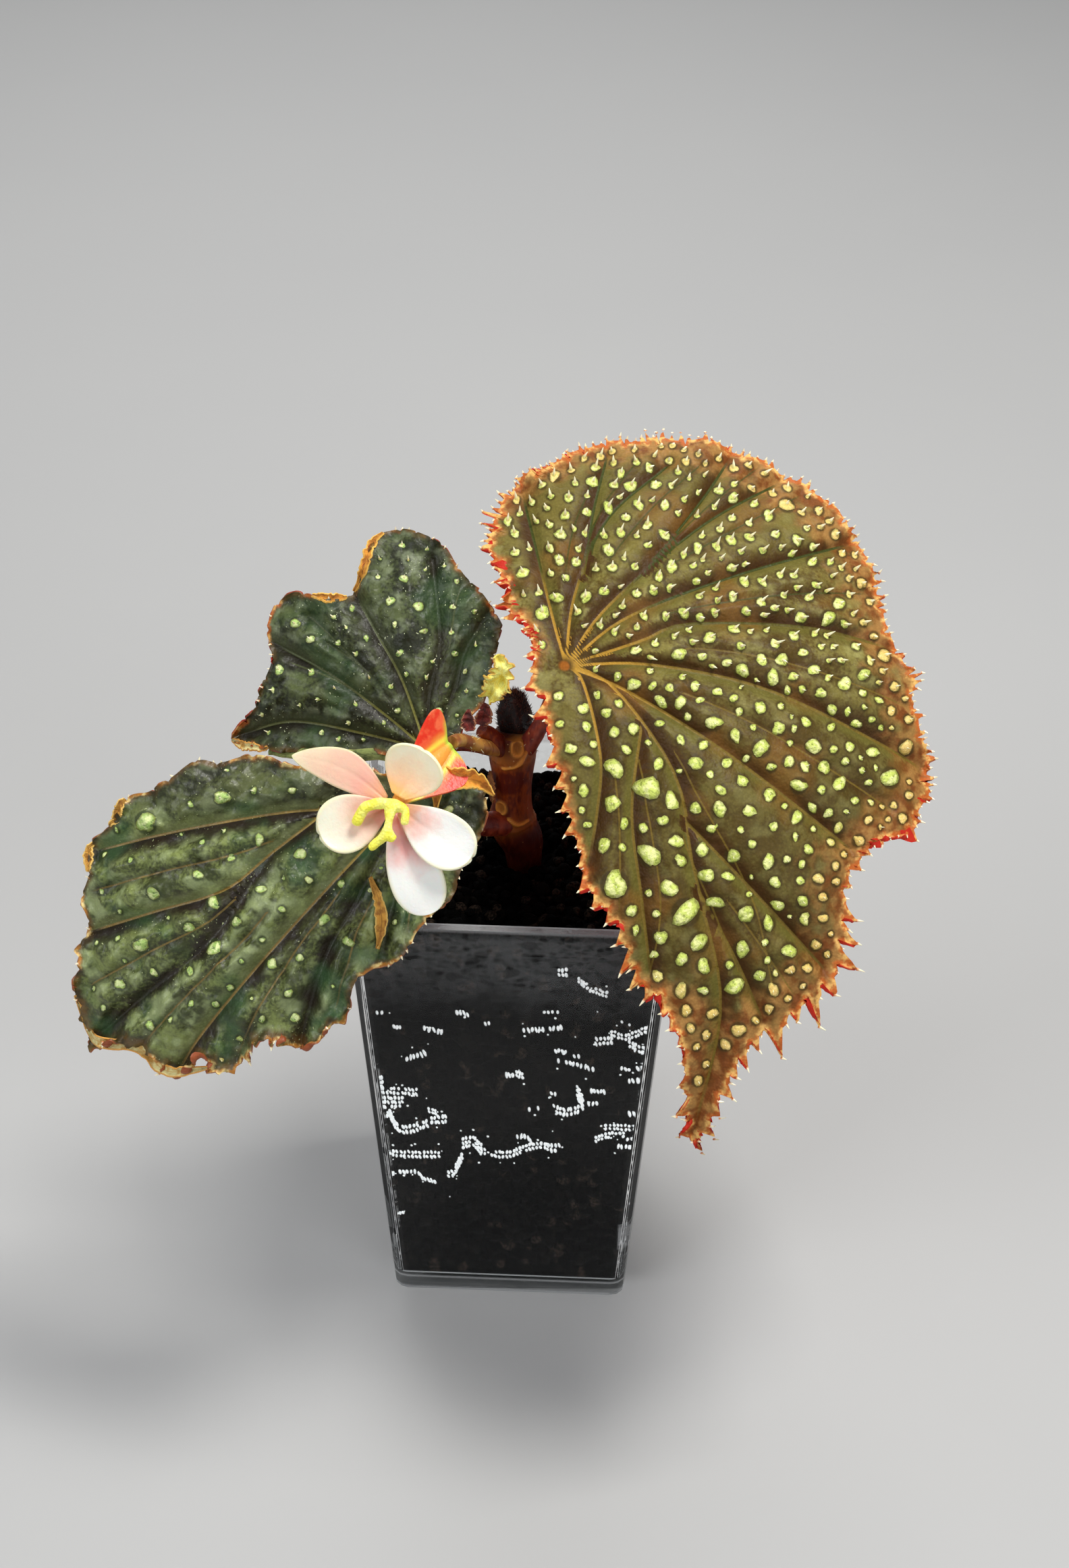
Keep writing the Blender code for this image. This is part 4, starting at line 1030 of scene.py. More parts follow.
    def build(self, name, slot, look, draw, finishes):
        """The blade, its spots with their hairs, and the bristles of its edge."""
        points, plain, outward, tips = self.grid(draw)
        self.rim = plain[-1], kept_inside(carried(self.matrix, points[-1]))
        flat = plain.reshape(-1, 2)
        blade = sheet(name + "_blade", kept_inside(carried(self.matrix, points), BLADE_ROOM))
        vein = to_lines(flat, self.veins)[0]
        bold = [self.veins[index] for index in self.bold]
        second = np.sort([to_lines(flat, [line])[0] for line in bold], axis=0)[1]
        nearest, across = to_lines(flat, bold)
        across = np.where(second < CROWDED, nearest, across)
        fine, fine_across = to_lines(flat, self.fine_veins)
        edge = to_lines(flat, [plain[-1]])[0]
        mark(blade, vein=vein, across=across, bold=nearest, fine=fine, fine_across=fine_across, edge=edge,
             under=0 * vein, blush=edge / self.blush(flat[:, 0], flat[:, 1]),
             foot=np.hypot(flat[:, 0], flat[:, 1]), north=flat[:, 1], spot=self.from_spots(flat))
        weld(blade)
        upper = len(blade.data.vertices)
        thicken(blade, BLADE_THICKNESS)
        mark(blade, under=np.arange(len(blade.data.vertices)) >= upper)
        finished(blade, slot, leaf_finish(name + "_skin", look), name, sharp=75)
        self.add_spots(name, slot, draw, finishes[slot])
        self.add_hairs(name, slot, draw, finishes["hairs"])
        self.add_bristles(name, slot, points[-1], outward, tips, draw, finishes["bristles"])

    def edge_run(self, start, end):
        """World points along the finished edge between the ones nearest to two places in its plane."""
        plain, rim = self.rim
        first, last = sorted(int(np.argmin(np.hypot(*(plain - near).T))) for near in (start, end))
        return rim[np.linspace(first, last, 7).astype(int)]

    def from_spots(self, xy):
        """Distance outside the nearest spot, and below 0 in it."""
        nearest = np.full(len(xy), 9.0)
        for x, y, r in self.spots:
            near = np.abs(xy[:, 0] - x) + np.abs(xy[:, 1] - y) < 8
            nearest[near] = np.minimum(nearest[near], np.hypot(xy[near, 0] - x, xy[near, 1] - y) - r)
        return nearest

    def add_spots(self, name, slot, draw, finish):
        """Low irregular blisters over the spots."""
        template, ball = ball_piece("spot", SPOT_SIDES, 5)
        angle = np.arctan2(ball[:, 1], ball[:, 0])
        spoke = np.round(angle / (2 * math.pi) * SPOT_SIDES).astype(int) % SPOT_SIDES
        plan, rises = [], []
        for x, y, r in self.spots:
            wobble = 1 + 0.05 * draw.normal(size=SPOT_SIDES)[spoke]
            for waves, depth in ((2, 0.14), (3, 0.12), (4, 0.08), (6, 0.04)):
                wobble = wobble + draw.uniform(0.2, 1) * depth * np.sin(waves * angle + draw.uniform(0, 7))
            turn, longer = draw.uniform(0, math.pi), draw.uniform(1.0, 1.25)
            u, v = ball[:, 0] * wobble * r * longer, ball[:, 1] * wobble * r / longer
            plan.append(np.column_stack(rotated(u, v, turn)) + (x, y))
            crinkle = 0.05 * ripple(np.column_stack([u, v]), 1.1, draw, 12)
            rises.append(np.where(ball[:, 2] > 0, 0.10 + 0.16 * r + crinkle, 0.3) * ball[:, 2] - 0.02)
        xy = np.concatenate(plan)
        z = self.height(xy) + self.bent(xy) + np.concatenate(rises)
        places = kept_inside(carried(self.matrix, np.column_stack([xy, z]))).reshape(len(plan), -1, 3)
        spots = copies(name + "_spots", template, places)
        middles = self.spots[:, :2]
        from_edge = to_lines(middles, [self.outline()[::3]])[0]
        warm = smooth(from_edge / self.blush(middles[:, 0], middles[:, 1]), 1.3, 0.5) * self.tooth
        from_middle = np.tile(np.hypot(ball[:, 0], ball[:, 1]), len(plan))
        mark(spots, from_middle=from_middle, warm=np.repeat(warm, len(ball)))
        finished(spots, slot, finish)

    def add_hairs(self, name, slot, draw, finish):
        """One stiff hair on each spot, leaning away from the stalk."""
        middles = self.spots[:, :2]
        feet, normals = self.surface(middles)
        feet = feet + self.bent(middles)[:, None] * self.matrix[:3, 2]
        away = np.column_stack([units(middles), np.zeros(len(middles))]) @ self.matrix[:3, :3].T
        north = smooth(middles[:, 1], -12.0, 6.0)
        ahead = normals + (0.15 + 0.5 * north)[:, None] * away + draw.normal(0, 0.14, size=normals.shape)
        long = draw.uniform(0.8, 1.5, len(feet)) * self.hair * (0.5 + 0.5 * north)
        bends = draw.normal(0, 0.12, feet.shape) + 0.2 * away
        hairs = spikes(name + "_hairs", feet, units(ahead), long, self.hair * (0.15 + 0.24 * north), bends)
        finished(hairs, slot, finish)

    def add_bristles(self, name, slot, edge, outward, tips, draw, finish):
        """Stiff cream bristles on the tips of the edge's lobes."""
        tips = [tip for tip in tips if draw.random() < self.bristle]
        columns = np.array([column % len(edge) for column, _, _ in tips])
        is_main = np.array([main for _, _, main in tips])
        point = np.array([value for _, value, _ in tips])
        out = outward[columns] + draw.normal(0, 0.35, (len(columns), 2))
        ahead = units(np.column_stack([out, draw.uniform(0.0, 0.7, len(columns))]))
        feet = carried(self.matrix, edge[columns] - 0.25 * ahead - (0, 0, 0.2))
        long = draw.uniform(0.4, 0.9, len(columns)) * np.where(is_main, 1 + 0.5 * point, 0.7)
        lift = np.column_stack([np.zeros((len(columns), 2)), draw.uniform(-0.1, 0.4, len(columns))])
        turned = self.matrix[:3, :3].T
        piece = spikes(name + "_bristles", feet, ahead @ turned, long + 0.25, 0.30, lift @ turned)
        finished(piece, slot, finish)


def between(first, second):
    """A fine vein half way between two veins, from a third of their length out to the edge."""
    return ((first + second) / 2)[VEIN_STEPS // 3:]


def inside(points, outline):
    """Which points lie inside the closed outline."""
    found = np.zeros(len(points), bool)
    for (ax, ay), (bx, by) in zip(outline, np.roll(outline, -1, axis=0)):
        spans = (ay > points[:, 1]) != (by > points[:, 1])
        cross = ax + (points[:, 1] - ay) * (bx - ax) / (by - ay + 1e-12)
        found ^= spans & (points[:, 0] < cross)
    return found


LEAF_RIGHT = Leaf(
    foot=(8.8, -6.0, 147.3), azimuth=4, tilt=38, apex=(19, -36), radius=(70, 90),
    columns=420, rings=55, lobe=(8, 12), tooth=2.2, ragged=0.3, quilt=1.5, pucker=0.17, blister=0.26,
    hair=1.0, bristle=1.0, inset=0.7, crown=1.0, bold=range(14),
    spiky=lambda x, y: float(max(smooth(y, 4.0, -12.0) * smooth(x, 34.0, 14.0), smooth(y, -28.0, -40.0))),
    frilly=lambda x, y: float(smooth(x, 2.0, -3.0) * smooth(y, -30.0, -14.0) * smooth(y, 34.0, 26.0)),
    blush=lambda x, y: (1.7 + 4.6 * smooth(x, 12.0, 42.0) + 2.5 * smooth(y, 24.0, 40.0)
                        + 5 * smooth(y, -50.0, -66.0)),
    first=[(19, 45), (34, 42.5), (48, 33.5), (57, 22), (60, 8), (64, -5), (66, -18), (63, -29), (54, -32.5),
           (49, -42), (46.5, -55), (36, -64), (28.5, -72), (25, -80), (22, -86)],
    second=[(19, 45), (4, 42), (-8, 36), (-13, 25), (-10, 15), (-7, 5), (-5, -2), (-4, -12), (-1.5, -23),
            (1.5, -35), (8, -48), (13, -57), (18.5, -64), (20.5, -75), (22, -86)],
    spine=[(21, 24), (23, -10), (25, -45), (23.5, -72)],
    veins=[[(0, 0), (-2.5, 11), (-5, 24), (-7, 34)],
           [(0, 0), (2, 13), (8.5, 27.5), (20, 38)],
           [(3.8, 17), (6, 29), (9, 40)],
           [(0, 0), (7.7, 10.6), (25.7, 26), (43, 36)],
           [(15, 17.5), (26, 31), (33, 41)],
           [(0, 0), (11.3, 8.7), (32.5, 16.8), (57, 24)],
           [(0, 0), (13.5, 4.3), (22, 7.3), (44, 6.8), (61, 3)],
           [(0, 0), (14.5, 0), (35, -4.4), (56, -14), (65, -19)],
           [(0, 0), (10.8, -4.8), (28, -16), (50, -33)],
           [(0, 0), (7.3, -3), (16.3, -15), (20, -24), (21, -33), (23, -42), (26.5, -61), (22, -85)],
           [(0, 0), (3, -3), (5.7, -16), (5, -26), (3, -37)],
           [(13, -11), (11, -26), (12.5, -41), (14, -54)],
           [(20.5, -28), (32, -40), (45, -54)],
           [(22.5, -40), (29, -52), (34, -63)]])

LEAF_UPPER_LEFT = Leaf(
    foot=(-16.3, -6.0, 127.5), azimuth=-6, tilt=42, apex=(-8, 18), radius=(60, 60),
    columns=270, rings=52, lobe=(7, 18), tooth=0.85, ragged=0.8, quilt=1.6, pucker=0.38, blister=0.34,
    hair=0.6, bristle=0.3, inset=0.3, crown=0.5, bold=(0, 1, 2),
    spiky=lambda x, y: 0.2,
    frilly=lambda x, y: 0.4 * float(smooth(x, -20.0, -28.0)),
    blush=lambda x, y: 1.0 + 0 * x,
    first=[(-38, -1), (-33.5, 5), (-31.5, 13), (-32, 21), (-28, 26.5), (-22, 25), (-17.5, 26.5), (-14.5, 33),
           (-12.5, 39), (-7, 40), (-0.5, 37), (6, 31), (11, 24)],
    second=[(-38, -1), (-33, -1.7), (-20, -2), (-11, -2), (-3, -2), (3, 0), (7, 6), (10.5, 14), (11, 24)],
    spine=[(-23, 10), (-10, 18), (-2, 23)],
    veins=[[(0, 0), (-8, 5.5), (-19, 12), (-32, 17.6)],
           [(0, 0), (-5.5, 12), (-11, 20), (-16, 27)],
           [(0, 0), (-13, 2), (-26, 3), (-37, 0)],
           [(0, 0), (-0.4, 10), (0.5, 20), (-2.7, 35)],
           [(0, 0), (3.4, 9), (5.4, 19), (9, 27)]])

LEAF_LOWER_LEFT = Leaf(
    foot=(-19.1, -24.0, 128.2), azimuth=-6, tilt=40, apex=(-20, -12), radius=(75, 70),
    columns=350, rings=60, lobe=(8, 20), tooth=0.95, ragged=0.9, quilt=2.3, pucker=0.60, blister=0.34,
    hair=0.6, bristle=0.25, inset=0.4, crown=0.5, bold=(0, 1, 3),
    spiky=lambda x, y: 0.6 * float(smooth(y, -20.0, -35.0)),
    frilly=lambda x, y: float(smooth(y, -34.0, -42.0)),
    blush=lambda x, y: 1.0 + 1.2 * smooth(y, -36.0, -44.0),
    lifts=[((12, 5), 3.0, 4.5)],
    first=[(15, 1), (13, -7), (9, -15), (4.5, -22), (2.5, -27), (-2.5, -29.5), (-6.5, -36), (-10, -42),
           (-14, -45), (-18, -42), (-22, -43.5), (-26, -48), (-29, -50.5), (-33, -49), (-38, -53.5),
           (-43, -49), (-48, -47.5), (-55.5, -49)],
    second=[(15, 1), (11, 5.5), (5, 6), (-8, 6), (-21, 5.7), (-33, 5.4), (-38, 4), (-44, -1), (-50, -4.5),
            (-54, -9.5), (-57, -16), (-57, -28), (-57.5, -40), (-55.5, -49)],
    spine=[(4, -8), (-20, -18), (-44, -30)],
    veins=[[(0, 0), (-13.6, -1.8), (-23, -3.6), (-41.6, -8.7), (-55, -13)],
           [(-13.5, -2.4), (-22, -10.4), (-30, -17.8), (-43, -23), (-56, -28)],
           [(-22, -10.4), (-32, -27), (-44, -38), (-54, -47)],
           [(0, 0), (-8.8, -12), (-20.7, -27.7), (-32.8, -43.7), (-38, -52)],
           [(0, 0), (-6, -16.6), (-11, -28), (-15, -44)],
           [(0, 0), (0.6, -12.3), (-1.6, -28)],
           [(0, 0), (5.8, -7), (8, -15)]])


def make_leaves():
    """The three blades with their spots, hairs and bristles."""
    finishes = {
        "leaf_bronze": spot_finish("pale_spots", (0.27, 0.32, 0.045), (0.60, 0.70, 0.13), (0.86, 0.88, 0.36)),
        "leaf_dark_green": spot_finish("green_spots", (0.12, 0.20, 0.05), (0.40, 0.58, 0.15),
                                       (0.78, 0.86, 0.40)),
        "hairs": hair_finish("pale_hairs", (0.72, 0.62, 0.20), (0.92, 0.84, 0.56), 0.1, 0.7),
        "bristles": hair_finish("edge_bristles", (0.66, 0.22, 0.06), (0.93, 0.82, 0.58), 0.05, 0.45),
    }
    draw = np.random.default_rng(SEED + 1)
    LEAF_RIGHT.throw_spots(draw, 420, 0.88, 0.86, 0.30, large=((20, -40), 0.60, 27))
    LEAF_UPPER_LEFT.throw_spots(draw, 52, 2.2, 0.55, 0.36)
    LEAF_LOWER_LEFT.throw_spots(draw, 70, 2.8, 0.78, 0.45)
    for index, (leaf, name, slot) in enumerate((
            (LEAF_RIGHT, "leaf_right", "leaf_bronze"),
            (LEAF_UPPER_LEFT, "leaf_upper_left", "leaf_dark_green"),
            (LEAF_LOWER_LEFT, "leaf_lower_left", "leaf_dark_green"))):
        look = {key: values[index] for key, values in LOOKS.items()}
        leaf.build(name, slot, look, draw, finishes)


# Stem and stalks

def skin_points(path, ring, radius, lumps):
    """Points of a stalk's skin, with the lumps on it."""
    return path[:, None] + ring * (radius[:, None] + lumps.reshape(ring.shape[:2]))[..., None]


def make_stem():
    """The jointed stem, ridged at the nodes, with leaf scars and torn sheaths, and its arm."""
    path, ring, radius = tube_points(TRUNK, TRUNK_RADIUS, steps=150, segments=72)
    around = np.arctan2(ring[..., 0], -ring[..., 1])
    height = (path[:, None, 2] + 0 * around).ravel()
    around = around.ravel()
    flat = np.column_stack([around * SKIN_ROUND, height])
    draw = np.random.default_rng(SEED + 2)
    lumps = 0.10 * ripple(np.column_stack([ring.reshape(-1, 3) * SKIN_ROUND, 0.5 * height]), 4, draw)
    lumps += 0.035 * np.sin(around * 17 + 0.15 * height)
    scar, ochre = np.zeros((2, len(flat)))
    for degrees, level, size in SCARS:
        off = np.hypot(flat[:, 0] - math.radians(degrees) * SKIN_ROUND, (height - level) * 0.9)
        lumps += 0.30 * bell(off - size, 0.3) - 0.12 * (off < 0.8 * size) + 0.16 * bell(off, 0.3)
        disc = 0.35 * smooth(off, size + 0.2, size - 0.1)
        scar = np.maximum(scar, disc + 0.65 * bell(off - size, 0.28))
    for ends in SHEATHS:
        start, end = np.array(ends) * (math.radians(1) * SKIN_ROUND, 1)
        line = spline([start, (start + end) / 2 - (0, SHEATH_SAG), end], 12)
        off = to_lines(flat, [line])[0]
        lumps += 0.40 * bell(off, 0.4)
        scar = np.maximum(scar, 0.9 * smooth(off, 0.55, 0.2))
    for node in (LOWER_NODE, UPPER_NODE):
        ochre = np.maximum(ochre, bell(height - node + 0.4, 1.6))
        lumps += 0.16 * bell(height - node + 1.2, 0.4)
    dark = np.maximum(bell(height - UPPER_NODE - 1.5, 2.2), smooth(height, 107.5, 104.0))
    stem = wrapped("stem", skin_points(path, ring, radius, lumps), scar=scar, dark=dark, ochre=ochre)
    skin = stem_finish()
    finished(stem, "rhizome", skin, "rhizome")
    path, ring, radius = tube_points(ARM, ARM_RADIUS, steps=40, segments=32)
    lumps = 0.12 * ripple((path[:, None] + ring).reshape(-1, 3), 2.5, draw)
    none = 0 * lumps
    arm = wrapped("stem_arm", skin_points(path, ring, radius, lumps), scar=none, dark=none + 0.3, ochre=none)
    finished(arm, "rhizome", skin)


def make_bud():
    """The dark hairy bud: folded young leaves under a coat of stiff hairs."""
    bud, ball = ball_piece("bud", 56, 36)
    turn = np.arctan2(ball[:, 1], ball[:, 0])
    fold = 1 + 0.10 * np.cos(5 * turn + 2.5 * ball[:, 2]) * (1 - np.abs(ball[:, 2]))
    low = (np.maximum(ball[:, 2], -BUD_FLAT) + BUD_FLAT) / (1 + BUD_FLAT)
    points = np.column_stack([fold * ball[:, 0], fold * ball[:, 1], low]) * BUD_SIZE + BUD_FOOT
    move_points(bud, points)
    f = Finish("bud_skin")
    streak = f.noise(0.8, 3, f.stretched((1, 1, 0.3)))
    colour = f.mix((0.006, 0.003, 0.003), (0.05, 0.014, 0.010), f.ease(streak, 0.45, 0.7))
    skin = f.shade(Base_Color=colour, Roughness=0.55 + streak * 0.2, Normal=f.bump(streak, 0.3))
    finished(bud, "growing_tip", skin, "growing_tip")
    draw = np.random.default_rng(SEED + 3)
    chosen = draw.choice(np.flatnonzero(ball[:, 2] > -0.3), BUD_HAIRS, replace=False)
    ahead = units(ball[chosen] * (1, 1, 0.6) + (0, 0, 0.7) + draw.normal(0, 0.2, (BUD_HAIRS, 3)))
    upward = np.tile((0.0, 0.0, 0.15), (BUD_HAIRS, 1))
    long = draw.uniform(0.5, 1.1, BUD_HAIRS)
    hairs = spikes("bud_hairs", points[chosen] - 0.15 * ahead, ahead, long, 0.08, upward)
    f = Finish("bud_hair")
    tone = f.mix((0.03, 0.008, 0.006), (0.20, 0.07, 0.035), f.ease(f.read("along"), 0.2, 1.0))
    finished(hairs, "growing_tip", f.shade(Base_Color=tone, Roughness=0.45 + f.noise(2) * 0.1))


def make_stalks():
    """Petioles, each flaring into its leaf, and the flower's stalk."""
    red = stalk_finish("petiole_skin", (0.13, 0.010, 0.005), (0.34, 0.055, 0.018), (0.60, 0.30, 0.10))
    amber = stalk_finish("flower_stalk_skin", (0.24, 0.070, 0.016), (0.48, 0.24, 0.045), (0.60, 0.42, 0.14))
    joint = np.array(STALK_JOINT)
    beyond = tuple(joint + 0.8 * unit(joint - np.array(FLOWER_FOOT)))
    to_flower = [(-3.6, -2.6, 125.6), (-7.1, -7.5, 130.3), (-9.0, -12.5, 134.8), (-9.9, -17.4, 138.4), beyond]
    stalks = [("peduncle", to_flower, [1.4, 1.3, 1.2, 1.2, 1.2], amber, "peduncle")]
    for name, leaf, thick, route in (
            ("petiole_right", LEAF_RIGHT, 1.7, [(0.6, -0.8, 123.0), (4.2, -1.8, 130.5), (7.2, -0.6, 139.0)]),
            ("petiole_upper_left", LEAF_UPPER_LEFT, 1.4,
             [(-1.0, 0.6, 122.0), (-7.5, 1.4, 123.2), (-13.5, 0.2, 124.2)]),
            ("petiole_lower_left", LEAF_LOWER_LEFT, 2.3,
             [(-0.5, -1.0, 107.2), (-7.5, -6.5, 111.0), (-15.5, -14.0, 118.4)])):
        ends = [tuple(leaf.surface(np.zeros((1, 2)), lift)[0][0]) for lift in (-4.1, -1.6, -0.3)]
        radii = [thick * 1.15, thick, 0.85 * thick, 1.25, 1.25, 1.6]
        stalks.append((name, route + ends, radii, red, "petiole"))
    draw = np.random.default_rng(SEED + 4)
    for name, route, radii, finish, slot in stalks:
        path, ring, radius = tube_points(route, radii, steps=90, segments=32)
        lumps = 0.05 * ripple((path[:, None] + ring).reshape(-1, 3), 3, draw)
        finished(wrapped(name + "_skin", skin_points(path, ring, radius, lumps)), slot, finish, name)
        rows, columns = draw.integers(8, 80, STALK_HAIRS), draw.integers(0, 32, STALK_HAIRS)
        ahead = units(ring[rows, columns] + draw.normal(0, 0.3, (STALK_HAIRS, 3)))
        feet = path[rows] + ring[rows, columns] * (radius[rows, None] - 0.1)
        long = draw.uniform(0.4, 0.9, STALK_HAIRS)
        fuzz = spikes(name + "_hairs", feet, ahead, long, 0.06, 0.2 * draw.normal(size=(STALK_HAIRS, 3)))
        finished(fuzz, slot, bpy.data.materials["pale_hairs"])


# Flower

def tepal_half_width(along, widest, blunt):
    """Half-width of a tepal as a share of its widest, at a share of its length."""
    rising = 0.25 + 0.75 * np.sin(math.pi / 2 * np.minimum(along, widest) / widest)
    closing = np.clip((along - widest) / (1 - widest), 0, 1)
    return np.where(along < widest, rising, np.maximum(0.0, 1 - closing**blunt) ** (1 / blunt))


def make_flower():
    """Five waxy tepals in two layers, the styles in front of them and the ovary behind."""
    face = facing(FLOWER_FOOT, FLOWER_AZIMUTH, FLOWER_TILT)
    pink, rose, peach = (0.80, 0.36, 0.29), (0.80, 0.26, 0.24), (0.81, 0.42, 0.19)
    white, cream = (0.84, 0.83, 0.79), (0.82, 0.72, 0.48)
    tints = {
        "tepal_1": (pink, peach, cream, 1.30),
        "tepal_2": ((0.93, 0.52, 0.28), (0.95, 0.48, 0.12), (0.94, 0.88, 0.66), 1.1),
        "tepal_3": (pink, peach, white, 0.62),
        "tepal_4": (rose, (0.78, 0.27, 0.20), white, 0.75),
        "tepal_5": (pink, rose, (0.80, 0.77, 0.62), 0.95),
    }
    draw = np.random.default_rng(SEED + 5)
    steps = np.sin(math.pi / 2 * np.linspace(0, 1, TEPAL_ROWS))
    share, along = np.meshgrid(np.linspace(-1, 1, TEPAL_COLUMNS), steps)
    for name, (angle, length, width, widest, blunt, layer, lean, bow) in TEPALS.items():
        half = width * tepal_half_width(along, widest, blunt)
        out = TEPAL_ROOT + (length - TEPAL_ROOT) * along
        lift = layer + TEPAL_THICKNESS + lean * along**2 + TEPAL_CUP[layer] * half * share**2 * along
        swells = ripple(np.column_stack([out.ravel(), (half * share).ravel()]), 7, draw)
        lift += 0.10 * swells.reshape(lift.shape) * along
        lift -= 0.22 * bell(share, 0.16) * (1 - along) + 0.05 * np.cos(share * 18) * (1 - along**2)
        aside = half * share + bow * np.sin(math.pi * along)
        points = np.stack([*rotated(out, -aside, math.radians(angle)), lift], axis=-1)
        tepal = sheet(name + "_skin", carried(face, points))
        from_middle = np.abs(share) * smooth(half, 0, 0.5 * width) + smooth(half, 0.5 * width, 0)
        mark(tepal, along=along, aside=from_middle)
        weld(tepal, 0.01)
        thicken(tepal, TEPAL_THICKNESS)
        soften(tepal)
        finished(tepal, "tepal", tepal_finish(name + "_wax", *tints[name]), name, sharp=180)
    make_styles(face, draw)
    make_ovary(face)


# Styles: points of a branching skeleton, each with its parent and its radius
STYLES = {
    "foot": ((0, 0, 0.2), None, 0.75),
    "neck": ((0, 0.1, 1.7), "foot", 0.9),
    "crown": ((-0.2, 0.2, 2.9), "neck", 1.5),
    "left_bend": ((-2.8, -0.1, 3.3), "crown", 0.95),
    "left_knob": ((-4.8, -0.9, 3.6), "left_bend", 1.1),
    "left_tip": ((-6.3, -4.2, 3.2), "left_knob", 0.9),
    "middle_bend": ((-0.3, -2.6, 3.8), "crown", 0.75),
    "middle_fork": ((-0.5, -5.0, 4.0), "middle_bend", 0.8),
    "middle_right": ((0.9, -6.2, 3.8), "middle_fork", 0.9),
    "middle_left": ((-3.6, -8.0, 3.3), "middle_fork", 0.8),
    "right_bend": ((2.5, -0.9, 3.3), "crown", 0.8),
    "right_tip": ((2.2, -3.6, 3.5), "right_bend", 0.75),
}


def make_styles(face, draw):
    """Three forked styles: a skinned skeleton, softened and beaded all over."""
    names = list(STYLES)
    places = carried(face, np.array([STYLES[name][0] for name in names], float)) * MM
    edges = [(names.index(STYLES[name][1]), index) for index, name in enumerate(names) if STYLES[name][1]]
    mesh = bpy.data.meshes.new("styles_skin")
    mesh.from_pydata(places.tolist(), edges, [])
    piece = bpy.data.objects.new("styles_skin", mesh)
    bpy.context.scene.collection.objects.link(piece)
    select(piece)
    skin = piece.modifiers.new("Skin", "SKIN")
    skin.branch_smoothing = 0.4
    for index, name in enumerate(names):
        knot = piece.data.skin_vertices[0].data[index]
        knot.radius = (STYLES[name][2] * MM,) * 2
        knot.use_root = STYLES[name][1] is None
    bpy.ops.object.modifier_apply(modifier=skin.name)
    soften(piece, 3)
    points = points_of(piece)
    normals = np.array([vertex.normal for vertex in piece.data.vertices])
    beads = 0.02 * ripple(points, 0.8, draw, 40) + 0.06 * ripple(points, 2.2, draw)
    move_points(piece, points + normals * beads[:, None])
    finished(piece, "styles", style_finish(), "styles")


def make_ovary(face):
    """A capsule with three thin wings, lofted from the back of the flower to the joint of its stalk."""
    start = carried(face, np.array([[0, 0, -0.3]]))[0]
    end = np.array(STALK_JOINT)
    ahead = unit(end - start)
    across = unit(np.cross(ahead, (0, 0, 1)))
    over = np.cross(across, ahead)
    rows, wings = [], []
    for along in np.arange(OVARY_RINGS + 1) / OVARY_RINGS:
        body = OVARY_NECK + (OVARY_RADIUS - OVARY_NECK) * math.sin(math.pi * along)
        row, marks = [], []
        for index, (angle, reach, draw_back) in enumerate(WINGS):
            tall = body + reach * max(0.0, math.sin(math.pi * along**WING_SHIFT)) ** 0.6
            half = min(WING_THICKNESS / 2, 0.45 * body)
            next_angle = WINGS[(index + 1) % len(WINGS)][0]
            sweep = (next_angle - angle) % 360 - 360
            base = math.sqrt(body**2 - half**2)
            turned = [(angle, base + (tall - base) * share, side * half * (1 - 0.45 * share**0.5), share)
                      for side, shares in ((1, WING_STOPS), (-1, WING_STOPS[::-1])) for share in shares]
            turned += [(angle + sweep * share, body, 0.0, 0.0) for share in np.linspace(0.12, 0.88, 8)]
            for degrees, out, aside, share in turned:
                x, y = rotated(out, aside, math.radians(degrees))
                drawn = draw_back * (tall - body) * share
                row.append(start + (end - start) * along + ahead * drawn + across * x + over * y)
                marks.append((share * (tall - body) / LONG_WING, along))
        rows.append(row + row[:1])
        wings.append(marks + marks[:1])
    marks = np.array(wings)
    piece = wrapped("ovary_skin", np.array(rows), wing=marks[..., 0], along=marks[..., 1])
    finished(piece, "ovary", ovary_finish(), "ovary")


# Dried bits

def strip(name, slot, line, widths, face, finish, replaced, ragged, crumple, cup, groove, seed):
    """A thin papery strip along a smooth line, with torn edges, dents and a curl across it."""
    draw = np.random.default_rng(SEED + 40 + seed)
    path = spline(line, STRIP_ROWS)
    along = np.linspace(0, 1, STRIP_ROWS + 1)
    half = np.interp(along, np.linspace(0, 1, len(widths)), widths)
    ahead = np.gradient(path, axis=0)
    side = units(np.cross(ahead, face))
    up = units(np.cross(side, ahead))
    torn = np.repeat(draw.random((STRIP_ROWS // 2 + 1, 2)), 2, axis=0)[:STRIP_ROWS + 1]
    tears = 1 - ragged * torn * draw.uniform(0.6, 1, torn.shape)
    share = np.linspace(-1, 1, STRIP_COLUMNS + 1)
    reach = half[:, None] * share[None] * np.where(share[None] > 0, tears[:, 1:], tears[:, :1])
    flat = np.column_stack([np.repeat(np.arange(STRIP_ROWS + 1) * 0.15, STRIP_COLUMNS + 1), reach.ravel()])
    dent = crumple * ripple(flat, 2.4, draw).reshape(reach.shape) + cup * share[None] ** 2 * half[:, None]
    dent += groove * np.cos(share[None] * 22)
    piece = sheet(name, path[:, None] + side[:, None] * reach[..., None] + up[:, None] * dent[..., None])
    mark(piece, along=along[:, None] + 0 * reach, aside=np.abs(share)[None] + 0 * reach)
    weld(piece, 0.01)
    thicken(piece, STRIP_THICKNESS)
    return finished(piece, slot, finish, *replaced)


